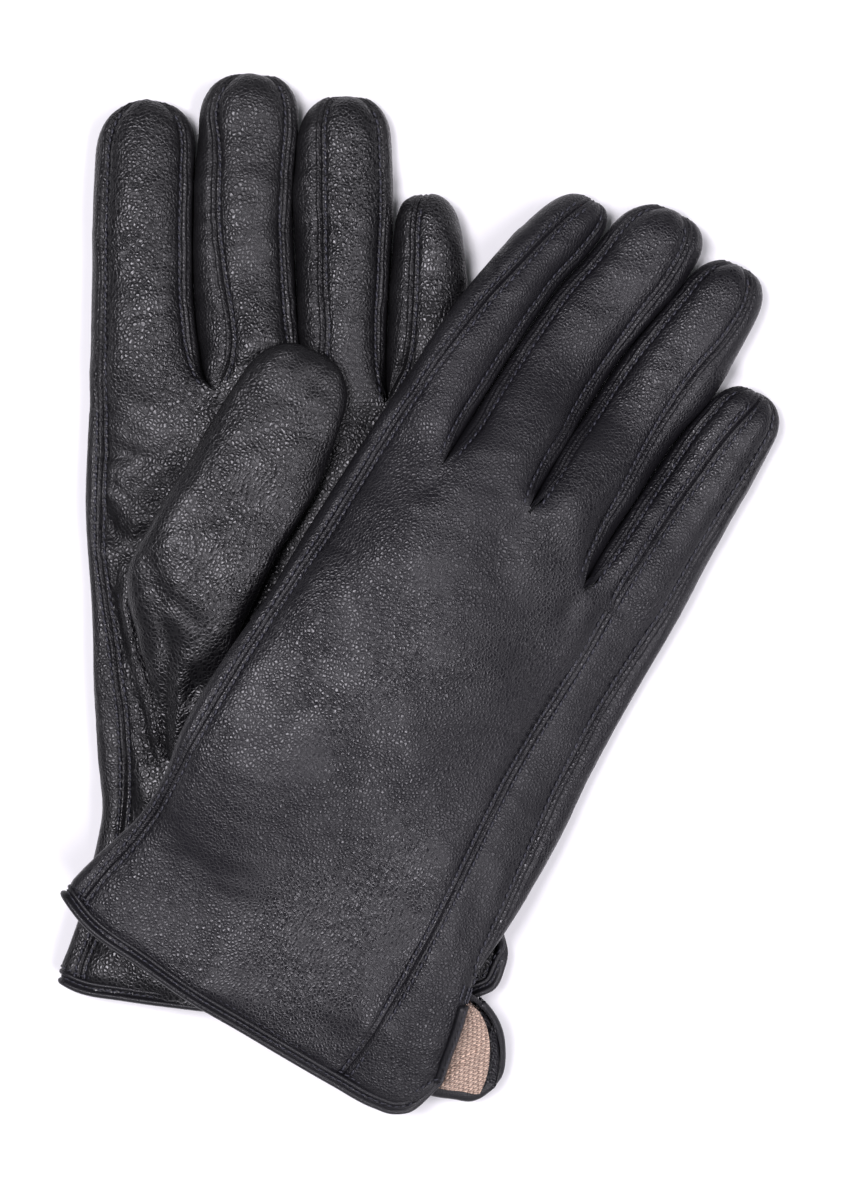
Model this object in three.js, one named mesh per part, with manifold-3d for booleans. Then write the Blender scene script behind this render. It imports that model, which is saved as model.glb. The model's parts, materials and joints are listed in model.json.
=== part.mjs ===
/*
 * A pair of lined leather dress gloves, put down together: the left glove palm up with its thumb
 * folded over the palm, and the right glove back up, lying askew on top of it.
 *
 * Millimetres, +Z up. The origin is the middle of the pair's footprint, on the surface it lies on.
 *
 * Each glove is described in its own lay: v runs across it from the index side (-) to the little
 * side (+), u runs from the hem to the fingertips, and z is height. An angle of 0 degrees looks to
 * the little side, 90 to the back of the hand, 180 to the index side and 270 to the palm.
 */
import * as THREE from 'three';
import { mergeVertices } from 'three/addons/utils/BufferGeometryUtils.js';
import Module from 'manifold-3d';

const radians = THREE.MathUtils.degToRad;
const lerp = THREE.MathUtils.lerp;
const ease = THREE.MathUtils.smoothstep;
const half = (size) => size / 2;

// Plies and clearances
const LEATHER = 1.0; // thickness of the leather
const LINING = 0.7; // thickness of the knitted lining
const PLY_GAP = 0.3; // between the leather and the lining
const SEAM_ANGLE = 2.4; // degrees kept open on each side of a sewn joint
const KNUCKLE_GAP = 2.0; // between the hand and a finger, where the finger bends
const LAY_GAP = 0.6; // between two things that lie on each other

// The hand, the same on both gloves
const CUFF_WIDTH = 113;
const WRIST_WIDTH = 97.5;
const WRIST_AT = 42; // up from the hem
const PALM_WIDTH = 100;
const PALM_AT = 105;
const CUFF_LEAN = -1.8; // how far the middle lies from the lay's own axis
const WRIST_LEAN = 1;
const PALM_LEAN = 2.7;
const HAND_HEIGHT = 12.5; // of the empty hand, lying flat
const VENT_LENGTH = 28; // of the open slit at the little side of the cuff
const BINDING_WIDTH = 3.5;
const BINDING_PROUD = 0.4; // how far the binding stands out from the leather

// The fingers
const FINGER_HEIGHT = 12.5;
const FINGER_GAP = 1.6; // between two neighbouring fingers at their root
const FORK = { to: 0.5, from: 0.3 }; // where the gap's knuckle line steps, as shares of the gap
const TIP_ROUND = 10; // length over which a fingertip closes
const TIP_BLUNT = 0.42; // share of its width that a fingertip ends with

// The thumb
const THUMB_WIDTH = 32;
const THUMB_HEIGHT = 11;
const THUMB_LENGTH = 73;
const THUMB_TURN = 28; // degrees, from the glove's length towards the little side
const THUMB_TAPER = 0.86; // width near the tip, to the width at the root
const QUIRK_LENGTH = 27; // of the gusset behind the thumb
const QUIRK_END = 19; // its width where it meets the palm
const TUCKED_HEIGHT = 7; // of the right thumb, pressed flat under its palm
const TUCKED_LENGTH = 58;
const TUCK_ROOM = 2.4; // spare height between the tucked thumb and what lies under and over it
const THUMB_HOLE = { length: 16, width: 11 };

// Sections are rounded boxes: superellipses of this power, pressed flat below
const SECTION_POWER = 2.6;
const PRESSED = 0.94; // how far down the section reaches, as a share of its half height

const HAND_ROWS = [0, 0.1, 0.19, 0.3, 0.47, 0.66, 0.84, 1];
// Rows up to 1 share out the straight of a finger, and rows from 1 to 2 share out its tip's round
const FINGER_ROWS = [0, 0.5, 1, 1.5, 1.85, 2];
const STALL_ROWS = [0, 0.5, 1, 1.5];
const HAND_STEP = 15; // degrees between the corners of a hand's section
const FINGER_STEP = 30;

/*
 * How each glove lies. A finger has its width at the root, its width near the tip, how far it leans
 * to the little side, and how far its tip is from the hem. bends is the height above the hem of the
 * line that it bends along, at its two sides: a finger with something lying on its root bends past it.
 */
const LEFT = {
  name: 'left',
  backUp: false,
  at: [-36.2, -106.2],
  turn: 2.5,
  hem: { start: 1.5, slant: -0.08 },
  rootLean: 5.2,
  flare: { across: 4, up: 6 },
  fingers: [
    { name: 'index', width: 33, tipWidth: 26, lean: 0.6, end: 241, bends: [157, 161] },
    { name: 'middle', width: 24.5, tipWidth: 25, lean: -1.2, end: 247.5, bends: [174, 174] },
    { name: 'ring', width: 20, tipWidth: 22, lean: 1.8, end: 240.5, bends: [174, 174] },
    { name: 'little', width: 21.5, tipWidth: 16.5, lean: 1.4, end: 213, bends: [189, 189] },
  ],
  thumb: { at: [-21.5, 104.5], height: THUMB_HEIGHT, length: THUMB_LENGTH },
};
const RIGHT = {
  name: 'right',
  backUp: true,
  // The right glove's index side keeps clear of the left thumb, so its axis lies half of each away
  beside: { point: [-103.4, -79.3], away: half(PALM_WIDTH + THUMB_WIDTH) },
  turn: -28.5,
  hem: { start: 2, slant: -0.1 },
  rootLean: 4.75,
  flare: { across: 14, up: 15 },
  fingers: [
    { name: 'index', width: 21, tipWidth: 18, lean: 9, end: 236.5, bends: [149, 151.5] },
    { name: 'middle', width: 25, tipWidth: 22.5, lean: 8.4, end: 244.5, bends: [151.5, 153] },
    { name: 'ring', width: 22, tipWidth: 21.5, lean: 7.6, end: 240, bends: [153, 140] },
    { name: 'little', width: 26, tipWidth: 19, lean: 3.4, end: 211.5, bends: [140, 138] },
  ],
  thumb: { at: [-22, 92], height: TUCKED_HEIGHT, length: TUCKED_LENGTH },
};

// How the right glove comes down from the left one to the table
const DRAPE_FROM = -8; // it starts this far inside the left glove's little side
const DRAPE_TO = 36;
const HEM_DRAPE = 45; // it comes down over this length past the left hem
const HUMP_FALL = 24; // width of the slope round the tucked thumb

/** A signed power, which turns a circle's sine or cosine into a rounded box's. */
const boxed = (x) => Math.sign(x) * Math.abs(x) ** (2 / SECTION_POWER);

/** Straight lines through [place, value] pairs. */
function along(pairs, place) {
  const next = pairs.findIndex((pair) => pair[0] > place);
  if (next === 0) return pairs[0][1];
  if (next < 0) return pairs.at(-1)[1];
  const [from, to] = [pairs[next - 1], pairs[next]];
  return lerp(from[1], to[1], (place - from[0]) / (to[0] - from[0]));
}

/** Soft steps through [place, value] pairs, level at each of them. */
function softly(pairs, place) {
  const next = pairs.findIndex((pair) => pair[0] > place);
  if (next === 0) return pairs[0][1];
  if (next < 0) return pairs.at(-1)[1];
  const [from, to] = [pairs[next - 1], pairs[next]];
  return lerp(from[1], to[1], ease(place, from[0], to[0]));
}

/**
 * Works out where a glove's fingers start, and its knuckle line: [v, u] pairs, which step up or down
 * in the gaps between the fingers, nearer to the later finger.
 */
function layOut(glove) {
  const gaps = FINGER_GAP * (glove.fingers.length - 1);
  const width = glove.fingers.reduce((sum, finger) => sum + finger.width, gaps);
  let edge = glove.rootLean - half(width);
  glove.rootWidth = width;
  glove.rootAt = glove.fingers[0].bends[1];
  glove.knuckles = [];
  for (const finger of glove.fingers) {
    finger.root = edge + half(finger.width);
    finger.from = half(finger.bends[0] + finger.bends[1]);
    glove.knuckles.push([edge - FORK.from * FINGER_GAP, finger.bends[0]]);
    edge += finger.width;
    glove.knuckles.push([edge + FORK.to * FINGER_GAP, finger.bends[1]]);
    edge += FINGER_GAP;
  }
  return glove;
}

[LEFT, RIGHT].forEach(layOut);
RIGHT.at = [
  RIGHT.beside.point[0] + RIGHT.beside.away * Math.cos(radians(RIGHT.turn)),
  RIGHT.beside.point[1] + RIGHT.beside.away * Math.sin(radians(RIGHT.turn)),
];

const knuckleAt = (glove, v) => along(glove.knuckles, v);
const hemAt = (glove, v) => glove.hem.start + glove.hem.slant * (v + half(CUFF_WIDTH));
const panelStart = (glove, v) => hemAt(glove, v) + BINDING_WIDTH + PLY_GAP;

/** Middle and half width of the hand at a height above the hem. */
function handAcross(glove, u) {
  const { rootAt, rootWidth, rootLean } = glove;
  const width = softly(
    [[0, CUFF_WIDTH], [WRIST_AT, WRIST_WIDTH], [PALM_AT, PALM_WIDTH], [rootAt, rootWidth]], u);
  const middle = softly(
    [[0, CUFF_LEAN], [WRIST_AT, WRIST_LEAN], [PALM_AT, PALM_LEAN], [rootAt, rootLean]], u);
  return { middle, wide: half(width), high: HAND_HEIGHT / (1 + PRESSED) };
}

/** Middle and half width of a finger, which closes like a quarter circle at its tip. */
function fingerAcross(finger, u) {
  const share = (u - finger.from) / (finger.end - TIP_ROUND - finger.from);
  const left = THREE.MathUtils.clamp((finger.end - u) / TIP_ROUND, 0, 1);
  const round = Math.sqrt(1 - (1 - left) ** 2);
  const full = half(lerp(finger.width, finger.tipWidth, Math.min(share, 1)));
  const high = FINGER_HEIGHT / (1 + PRESSED);
  return {
    middle: finger.root + finger.lean * share,
    wide: full * lerp(TIP_BLUNT, 1, round),
    high: lerp(LEATHER + half(PLY_GAP), high, round),
    level: high * PRESSED,
  };
}

/**
 * The point of a section at an angle, at a depth under its outer skin. A deeper skin keeps to the
 * same places across the flat of the glove, and comes in by its depth only at the sides.
 */
function sectionPoint(across, angle, depth) {
  const { middle, wide, high, level = high * PRESSED } = across;
  const side = boxed(Math.cos(angle));
  const up = (high - depth) * boxed(Math.sin(angle));
  return [middle + wide * side - depth * side ** 3, level + Math.max(up, depth - level)];
}

/** From the right glove's lay to the left glove's, which it lies on. */
function onLeft(v, u) {
  const turned = new THREE.Vector2(v, u).rotateAround(new THREE.Vector2(), radians(RIGHT.turn));
  turned.add(new THREE.Vector2(...RIGHT.at)).sub(new THREE.Vector2(...LEFT.at));
  return turned.rotateAround(new THREE.Vector2(), -radians(LEFT.turn));
}

/** The left glove's little side, along the hand and then along the little finger. */
function leftEdge(u) {
  const little = LEFT.fingers.at(-1);
  if (u < little.from) return handAcross(LEFT, u).middle + handAcross(LEFT, u).wide;
  const last = little.end - TIP_ROUND;
  const finger = fingerAcross(little, Math.min(u, last));
  return finger.middle + finger.wide;
}

/** Direction and place of a glove's thumb: across is q, along is r. */
function thumbPlace(glove, q, r) {
  const turn = radians(THUMB_TURN);
  const [v, u] = glove.thumb.at;
  return [
    v + q * Math.cos(turn) + r * Math.sin(turn),
    u - q * Math.sin(turn) + r * Math.cos(turn),
  ];
}

/** Height of the hump that the tucked thumb makes in the right hand. */
function hump(v, u) {
  const [root, tip] = [-QUIRK_LENGTH, TUCKED_LENGTH].map((r) => thumbPlace(RIGHT, 0, r));
  const line = new THREE.Line3(new THREE.Vector3(...root, 0), new THREE.Vector3(...tip, 0));
  const here = new THREE.Vector3(v, u, 0);
  const away = line.closestPointToPoint(here, true, new THREE.Vector3()).distanceTo(here);
  const edge = half(THUMB_WIDTH) + 1;
  return (TUCKED_HEIGHT + LAY_GAP + TUCK_ROOM) * (1 - ease(away, edge, edge + HUMP_FALL));
}

/** How high a glove's underside lies at a point of its lay. */
function lift(glove, v, u) {
  if (glove === LEFT) return 0;
  const under = onLeft(v, u);
  const pastSide = under.x - leftEdge(under.y);
  const pastHem = hemAt(LEFT, 0) - under.y;
  const down = (1 - ease(pastSide, DRAPE_FROM, DRAPE_TO)) * (1 - ease(pastHem, 0, HEM_DRAPE));
  return LAY_GAP + (HAND_HEIGHT + BINDING_PROUD + LAY_GAP) * down + hump(v, u);
}

/** How far, from 0 to 1, the palm's corner beside the vent is spread outwards. */
function spread(angle, u) {
  const turn = THREE.MathUtils.euclideanModulo(angle, 360);
  return ease(turn, 270, 350) * (1 - ease(u, 0, VENT_LENGTH));
}

/** A point of the hand's shell. angle is in degrees, seen with the back of the hand up. */
function handPoint(glove, angle, u, depth) {
  const turned = radians(glove.backUp ? angle : -angle);
  const [v, z] = sectionPoint(handAcross(glove, u), turned, depth);
  const open = spread(angle, u);
  return [v + glove.flare.across * open, u + glove.flare.up * open, z];
}

/** A point of a finger's shell. */
function fingerPoint(glove, finger, angle, u, depth) {
  const turned = radians(glove.backUp ? angle : -angle);
  const [v, z] = sectionPoint(fingerAcross(finger, u), turned, depth);
  return [v, u, z];
}

/** The height along a shell at which its ray meets a line, found by repeating. */
function meets(point, line, start) {
  let u = start;
  for (let n = 0; n < 4; n += 1) u = line(point(u)[0]);
  return u;
}

/**
 * A closed shell between two skins. skin(a, b, inner) gives a point for column a and row b. A round
 * shell closes on itself, and a capped one has a bottom at its last row.
 */
function shell(skin, columns, rows, { round = false, capped = false } = {}) {
  const positions = [];
  const faces = [];
  const [wide, deep] = [columns.length, rows.length];
  const count = wide * deep;
  for (const inner of [false, true]) {
    for (const row of rows) {
      for (const column of columns) positions.push(...skin(column, row, inner));
    }
  }
  const at = (a, b, inner) => (inner ? count : 0) + b * wide + (a % wide);
  const quad = (p, q, r, s) => faces.push(p, q, r, p, r, s);
  const last = round ? wide : wide - 1;
  for (let a = 0; a < last; a += 1) {
    for (let b = 0; b < deep - 1; b += 1) {
      quad(at(a, b), at(a + 1, b), at(a + 1, b + 1), at(a, b + 1));
      quad(at(a, b, true), at(a, b + 1, true), at(a + 1, b + 1, true), at(a + 1, b, true));
    }
    quad(at(a, 0), at(a, 0, true), at(a + 1, 0, true), at(a + 1, 0));
    if (!capped) {
      const end = deep - 1;
      quad(at(a, end), at(a + 1, end), at(a + 1, end, true), at(a, end, true));
    }
  }
  if (!round) {
    for (let b = 0; b < deep - 1; b += 1) {
      const far = wide - 1;
      quad(at(0, b), at(0, b + 1), at(0, b + 1, true), at(0, b, true));
      quad(at(far, b), at(far, b, true), at(far, b + 1, true), at(far, b + 1));
    }
  }
  if (capped) {
    const b = deep - 1;
    for (let a = 1; a < wide - 1; a += 1) {
      faces.push(at(0, b), at(a, b), at(a + 1, b));
      faces.push(at(0, b, true), at(a + 1, b, true), at(a, b, true));
    }
  }
  const geometry = new THREE.BufferGeometry();
  geometry.setAttribute('position', new THREE.Float32BufferAttribute(positions, 3));
  geometry.setIndex(faces);
  return faceOut(geometry);
}

/** Turns every face round if the body came out inside out. */
function faceOut(geometry) {
  const place = geometry.getAttribute('position');
  const index = geometry.index;
  const [a, b, c] = [new THREE.Vector3(), new THREE.Vector3(), new THREE.Vector3()];
  let volume = 0;
  for (let n = 0; n < index.count; n += 3) {
    [a, b, c].forEach((corner, k) => corner.fromBufferAttribute(place, index.getX(n + k)));
    volume += a.dot(b.cross(c));
  }
  if (volume < 0) index.array.reverse();
  return geometry;
}

/** The corners of a strip's section: its two edges, clear of the seams, and those between. */
function corners([from, to], step, extra = []) {
  const [first, last] = [from + SEAM_ANGLE, to - SEAM_ANGLE];
  const inside = extra.filter((angle) => angle > first && angle < last);
  for (let turn = from + step; turn < to; turn += step) inside.push(turn);
  return [first, ...inside.sort((a, b) => a - b), last];
}

/** The corners of a lining, which match those of the leather strips round it. */
function liningCorners(strips, step, extra = []) {
  return strips.flatMap(([, ...edges]) => corners(edges, step, extra));
}

/** The angles, on the back and on the palm, at which a glove's knuckle line steps. */
function forkAngles(glove) {
  const { middle, wide } = handAcross(glove, glove.rootAt);
  return glove.knuckles.slice(1, -1).flatMap(([v], n, line) => {
    const other = line[n % 2 ? n - 1 : n + 1];
    if (Math.abs(other[1] - line[n][1]) < FINGER_GAP) return [];
    const share = (v - middle) / wide;
    const cosine = Math.sign(share) * Math.abs(share) ** half(SECTION_POWER);
    const angle = THREE.MathUtils.radToDeg(Math.acos(cosine));
    return [angle, 360 - angle];
  });
}

const ring = (step) => Array.from({ length: 360 / step }, (_, n) => n * step);

const BLACK = { color: 0x17151a, roughness: 0.46, metalness: 0 };
const SIDE = { color: 0x121115, roughness: 0.5, metalness: 0 };
const EDGE = { color: 0x0e0d10, roughness: 0.42, metalness: 0 };
const KNIT = { color: 0xc2a287, roughness: 0.95, metalness: 0 };

/** A named mesh, raised to where its glove lies. */
function piece(glove, name, geometry, look) {
  const place = geometry.getAttribute('position');
  for (let n = 0; n < place.count; n += 1) {
    place.setZ(n, place.getZ(n) + lift(glove, place.getX(n), place.getY(n)));
  }
  geometry.computeVertexNormals();
  const mesh = new THREE.Mesh(geometry, new THREE.MeshStandardMaterial(look));
  mesh.name = `${glove.name}_${name}`;
  return mesh;
}

/** Part of the hand, from the hem to the knuckle line. */
function handShell(glove, columns, outer, inner) {
  const skin = (angle, share, isInner) => {
    const outside = (u) => handPoint(glove, angle, u, 0);
    const start = meets(outside, (v) => panelStart(glove, v), 0);
    const end = meets(outside, (v) => knuckleAt(glove, v), glove.rootAt);
    return handPoint(glove, angle, lerp(start, end, share), isInner ? inner : outer);
  };
  return shell(skin, columns, HAND_ROWS);
}

/** The binding, which wraps the raw edges of the leather and the lining along the hem. */
function hemBinding(glove) {
  const inner = LEATHER + PLY_GAP + LINING + BINDING_PROUD;
  const skin = (angle, share, isInner) => {
    const start = meets((u) => handPoint(glove, angle, u, 0), (v) => hemAt(glove, v), 0);
    const [v, u, z] = handPoint(glove, angle, start, isInner ? inner : -BINDING_PROUD);
    return [v, u + BINDING_WIDTH * share, Math.max(z, 0)];
  };
  return shell(skin, liningCorners(HAND_STRIPS, HAND_STEP), [0, 1]);
}

const STALL = { outer: LEATHER + PLY_GAP, inner: LEATHER + PLY_GAP + LINING };

/** Where a row of a finger or thumb lies between its start and its end. */
function rowAt(row, start, end) {
  if (row <= 1) return lerp(start, end - TIP_ROUND, row);
  return end - TIP_ROUND * (2 - row);
}

/** A finger's skin, from the line it bends along to its tip. */
function fingerSkin(glove, finger, depths, floor = 0) {
  return (angle, row, isInner) => {
    const at = (u) => fingerPoint(glove, finger, angle, u, isInner ? depths[1] : depths[0]);
    const start = meets(at, (v) => knuckleAt(glove, v) + KNUCKLE_GAP, finger.from);
    return at(rowAt(row, start, finger.end) - (isInner && row > 1 ? floor : 0));
  };
}

/** One strip of a finger's leather between two angles. */
function fingerStrip(glove, finger, edges) {
  const skin = fingerSkin(glove, finger, [0, LEATHER]);
  return shell(skin, corners(edges, FINGER_STEP), FINGER_ROWS);
}

/** The closed stall of knitted lining inside a finger. */
function fingerStall(glove, finger) {
  const skin = fingerSkin(glove, finger, [STALL.outer, STALL.inner], LINING);
  const columns = liningCorners(FINGER_STRIPS[finger.name], FINGER_STEP);
  return shell(skin, columns, STALL_ROWS, { round: true, capped: true });
}

// Where the strips of the leather meet: name, first angle, last angle
const HAND_STRIPS = [['little_side_panel', 0, 60], ['back_panel', 60, 150],
  ['index_side_panel', 150, 195], ['palm_panel', 195, 360]];
const FINGER_STRIPS = {
  index: [['back', 30, 150], ['side_strip', 150, 210], ['palm', 210, 330],
    ['fourchette', 330, 390]],
  middle: [['back', 30, 150], ['index_side_fourchette', 150, 210], ['palm', 210, 330],
    ['ring_side_fourchette', 330, 390]],
  ring: [['back', 30, 150], ['middle_side_fourchette', 150, 210], ['palm', 210, 330],
    ['little_side_fourchette', 330, 390]],
  little: [['side_strip', 30, 90], ['back', 90, 150], ['fourchette', 150, 210],
    ['palm', 210, 390]],
};

/** The pieces of one finger. */
function makeFinger(glove, finger) {
  const pieces = FINGER_STRIPS[finger.name].map(([part, ...edges]) => piece(
    glove, `${finger.name}_finger_${part}`, fingerStrip(glove, finger, edges),
    part === 'back' || part === 'palm' ? BLACK : SIDE));
  pieces.push(piece(glove, `${finger.name}_finger_lining`, fingerStall(glove, finger), KNIT));
  return pieces;
}

/** Height of the skin that a glove's thumb lies on, and which way the thumb stands off it. */
function thumbHeight(glove, k) {
  return glove.backUp ? -LAY_GAP - half(TUCK_ROOM) - k : HAND_HEIGHT + LAY_GAP + k;
}

/** A point of the thumb's shell at a distance along it. */
function thumbPoint(glove, angle, r, depth) {
  const { height, length } = glove.thumb;
  const left = THREE.MathUtils.clamp((length - r) / TIP_ROUND, 0, 1);
  const round = Math.sqrt(1 - (1 - left) ** 2);
  const width = THUMB_WIDTH * lerp(1, THUMB_TAPER, ease(r, half(length), length));
  const across = {
    middle: 0,
    wide: half(width) * lerp(TIP_BLUNT, 1, round),
    high: lerp(LEATHER + half(PLY_GAP), half(height), round),
    level: half(height),
  };
  const [q, k] = sectionPoint(across, radians(angle), depth);
  return [...thumbPlace(glove, q, r), thumbHeight(glove, k)];
}

/** The thumb: one piece of leather sewn round, or the lining's stall in it. */
function thumbStall(glove, outer, inner, rows) {
  const skin = (angle, row, isInner) => {
    const r = rowAt(row, 0, glove.thumb.length) - (isInner && row > 1 ? inner - outer : 0);
    return thumbPoint(glove, angle, r, isInner ? inner : outer);
  };
  return shell(skin, ring(FINGER_STEP), rows, { round: true, capped: true });
}

/** The quirk: a half tunnel of leather over the thumb hole, from the palm up to the thumb. */
function thumbQuirk(glove) {
  const skin = (angle, share, isInner) => {
    const depth = isInner ? LEATHER : 0;
    const wide = lerp(half(THUMB_WIDTH), half(QUIRK_END), share) - depth;
    const high = lerp(glove.thumb.height, LEATHER * 1.6, ease(share, 0, 1)) - depth;
    const q = wide * boxed(Math.cos(radians(angle)));
    const k = high * boxed(Math.sin(radians(angle)));
    const r = -KNUCKLE_GAP - QUIRK_LENGTH * share;
    return [...thumbPlace(glove, q, r), thumbHeight(glove, k)];
  };
  return shell(skin, [0, 30, 60, 90, 120, 150, 180], [0, 0.35, 0.7, 1]);
}

const wasm = await Module();
wasm.setup();

/** A closed geometry as a solid that can be cut. */
function solid(geometry) {
  const merged = mergeVertices(bare(geometry));
  return new wasm.Manifold(new wasm.Mesh({
    numProp: 3,
    vertProperties: new Float32Array(merged.getAttribute('position').array),
    triVerts: new Uint32Array(merged.index.array),
  }));
}

/** A copy of a geometry with nothing but its positions. */
function bare(geometry) {
  const copy = geometry.clone();
  copy.deleteAttribute('normal');
  copy.deleteAttribute('uv');
  return copy;
}

/** Cuts the thumb hole in a shell: an upright oval under the quirk. */
function withThumbHole(glove, geometry) {
  const tall = HAND_HEIGHT * 0.8;
  const cutter = new THREE.CylinderGeometry(1, 1, tall, 14);
  cutter.rotateX(Math.PI / 2);
  cutter.scale(half(THUMB_HOLE.width), half(THUMB_HOLE.length), 1);
  cutter.rotateZ(-radians(THUMB_TURN));
  const [v, u] = thumbPlace(glove, 0, -half(QUIRK_LENGTH) + 2);
  cutter.translate(v, u, glove.backUp ? 0 : HAND_HEIGHT);
  const mesh = solid(geometry).subtract(solid(cutter)).getMesh();
  const cut = new THREE.BufferGeometry();
  cut.setAttribute('position', new THREE.Float32BufferAttribute(mesh.vertProperties, 3));
  cut.setIndex(Array.from(mesh.triVerts));
  return cut;
}

/** The pieces of one hand. */
function makeHand(glove) {
  const forks = forkAngles(glove);
  const strips = HAND_STRIPS.map(([part, ...edges]) => {
    const panel = handShell(glove, corners(edges, HAND_STEP, forks), 0, LEATHER);
    const isPalm = part === 'palm_panel';
    return piece(glove, part, isPalm ? withThumbHole(glove, panel) : panel,
      isPalm || part === 'back_panel' ? BLACK : SIDE);
  });
  const lined = liningCorners(HAND_STRIPS, HAND_STEP, forks);
  const lining = handShell(glove, lined, STALL.outer, STALL.inner);
  return [
    ...strips,
    piece(glove, 'cuff_binding', hemBinding(glove), EDGE),
    piece(glove, 'hand_lining', withThumbHole(glove, lining), KNIT),
    piece(glove, 'thumb_quirk', thumbQuirk(glove), SIDE),
    piece(glove, 'thumb', thumbStall(glove, 0, LEATHER, FINGER_ROWS), BLACK),
    piece(glove, 'thumb_lining', thumbStall(glove, STALL.outer, STALL.inner, STALL_ROWS), KNIT),
  ];
}

/** One glove, placed as it lies. */
function makeGlove(glove) {
  const group = new THREE.Group();
  group.add(...makeHand(glove), ...glove.fingers.flatMap((finger) => makeFinger(glove, finger)));
  group.position.set(...glove.at, 0);
  group.rotation.z = radians(glove.turn);
  return group;
}

const gloves = new THREE.Group();
gloves.add(makeGlove(LEFT), makeGlove(RIGHT));
gloves.updateMatrixWorld(true);
const footprint = new THREE.Box3().setFromObject(gloves, true);
const middle = footprint.getCenter(new THREE.Vector3());
gloves.position.set(-middle.x, -middle.y, -footprint.min.z);

/** The line that a finger bends about: on its upper skin, across its root. */
function fingerHinge(glove, finger) {
  const edges = [-1, 1].map((side) => finger.root + side * half(finger.width));
  const u = Math.min(...finger.bends);
  const raised = [...edges, finger.root].map((v) => lift(glove, v, u));
  return [finger.root, u, FINGER_HEIGHT + Math.max(...raised)];
}

/** Hinge lines as [point, direction] in the gloves' own frame. */
function hinges(group, glove) {
  group.updateMatrixWorld(true);
  const across = new THREE.Vector3(1, 0, 0).transformDirection(group.matrixWorld);
  const lines = glove.fingers.map((finger) => [finger.name,
    group.localToWorld(new THREE.Vector3(...fingerHinge(glove, finger))), across]);
  const turned = new THREE.Vector3(...thumbPlace({ thumb: { at: [0, 0] } }, 1, 0), 0);
  lines.push(['thumb', group.localToWorld(
    new THREE.Vector3(...thumbPlace(glove, 0, 0), HAND_HEIGHT + LAY_GAP + THUMB_HEIGHT)),
  turned.transformDirection(group.matrixWorld)]);
  return lines;
}

gloves.updateMatrixWorld(true);
gloves.userData.hinges = [LEFT, RIGHT].map((glove, n) => hinges(gloves.children[n], glove));

export default gloves;
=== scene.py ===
"""A pair of lined black leather dress gloves.

The left glove lies palm up with its thumb folded over the palm, and the right glove lies back up
across it. Every leather piece is cut, seamed and stitched as its own piece.

Lengths are in millimetres until a mesh is made. In a glove's own lay v runs across it from the index
side (-) to the little side (+), u runs from the hem to the fingertips and z is height. Round a
section, 0 degrees looks to the little side, 90 to the back of the hand, 180 to the index side and
270 to the palm.
"""

import json
import logging
import math
from collections.abc import Callable, Sequence
from dataclasses import dataclass, field
from enum import Enum

import bpy
import numpy as np
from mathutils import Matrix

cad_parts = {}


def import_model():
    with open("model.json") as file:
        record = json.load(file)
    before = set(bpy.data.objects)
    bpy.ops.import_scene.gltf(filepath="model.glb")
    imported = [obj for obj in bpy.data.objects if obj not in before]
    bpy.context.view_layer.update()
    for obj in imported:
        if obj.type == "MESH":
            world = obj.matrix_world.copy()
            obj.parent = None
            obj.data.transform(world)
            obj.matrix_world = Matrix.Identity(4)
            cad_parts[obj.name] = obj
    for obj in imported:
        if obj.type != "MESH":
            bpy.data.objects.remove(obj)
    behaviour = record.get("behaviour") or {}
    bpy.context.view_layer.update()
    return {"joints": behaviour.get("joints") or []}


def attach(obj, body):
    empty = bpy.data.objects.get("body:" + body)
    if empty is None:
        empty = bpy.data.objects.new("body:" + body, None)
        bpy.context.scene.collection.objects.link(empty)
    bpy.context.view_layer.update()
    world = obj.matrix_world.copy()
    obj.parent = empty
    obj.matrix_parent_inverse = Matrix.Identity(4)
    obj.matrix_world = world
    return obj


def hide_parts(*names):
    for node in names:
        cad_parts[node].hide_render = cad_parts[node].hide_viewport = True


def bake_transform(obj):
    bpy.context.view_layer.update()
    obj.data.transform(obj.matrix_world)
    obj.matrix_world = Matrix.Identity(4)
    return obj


Array = np.ndarray
Curve = Callable[[Array], Array]
Surface = Callable[[Array, Array], Array]

METRES = 0.001
SECTION_POWER = 2.6
HALF_HEIGHT = 6.44
LEVEL = 6.06
LEATHER = 1.0
LINING_DEPTH = 2.1
LINING = 0.7
EDGE_ANGLE = 35.0
ROOT_BLEND = 15.0
VENT_LENGTH = 28.0
STITCH_PITCH = 2.35
STITCH_INSET = 1.45
ROW_STEP = 1.35
COLUMN_STEP = 1.25
SWELL = 0.42
SEAM_ROLL = 0.85
THREAD_CHANNEL = 0.55
SEAM_WIDTH = 0.5
HEM_PRESS = 0.95
HEM_GRIP = (3.0, 5.6)
HAND_LENGTH = 158.0
MEAN_ROOT = 150.0
LINING_EDGE = 0.5
LINING_OPENING = 23.0
TIP_BARE = 3.6

log = logging.getLogger("gloves")


class Slot(Enum):
    """The material slots of the record."""

    GRAIN = "grain_leather"
    SIDE = "side_leather"
    BINDING = "binding_leather"
    KNIT = "knit_lining"
    THREAD = "thread"


# ---------------------------------------------------------------------------- curves and sections


def ease(x: Array, low: float, high: float) -> Array:
    """A soft step: 3t^2 - 2t^3, where t is how far x is from low to high, kept within 0 and 1."""
    t = np.clip((x - low) / (high - low), 0.0, 1.0)
    return t * t * (3.0 - 2.0 * t)


def lerp(a: Array, b: Array, t: Array) -> Array:
    """The point a share t of the way from a to b."""
    return a + (b - a) * t


def boxed(x: Array) -> Array:
    """A signed power that turns a circle's sine or cosine into a rounded box's."""
    return np.sign(x) * np.abs(x) ** (2.0 / SECTION_POWER)


def arch(x: Array) -> Array:
    """Height of a rounded box over its middle line, (1 - |x|^p)^(1/p), for x from -1 to 1."""
    return (1.0 - np.minimum(np.abs(x), 1.0) ** SECTION_POWER) ** (1.0 / SECTION_POWER)


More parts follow.
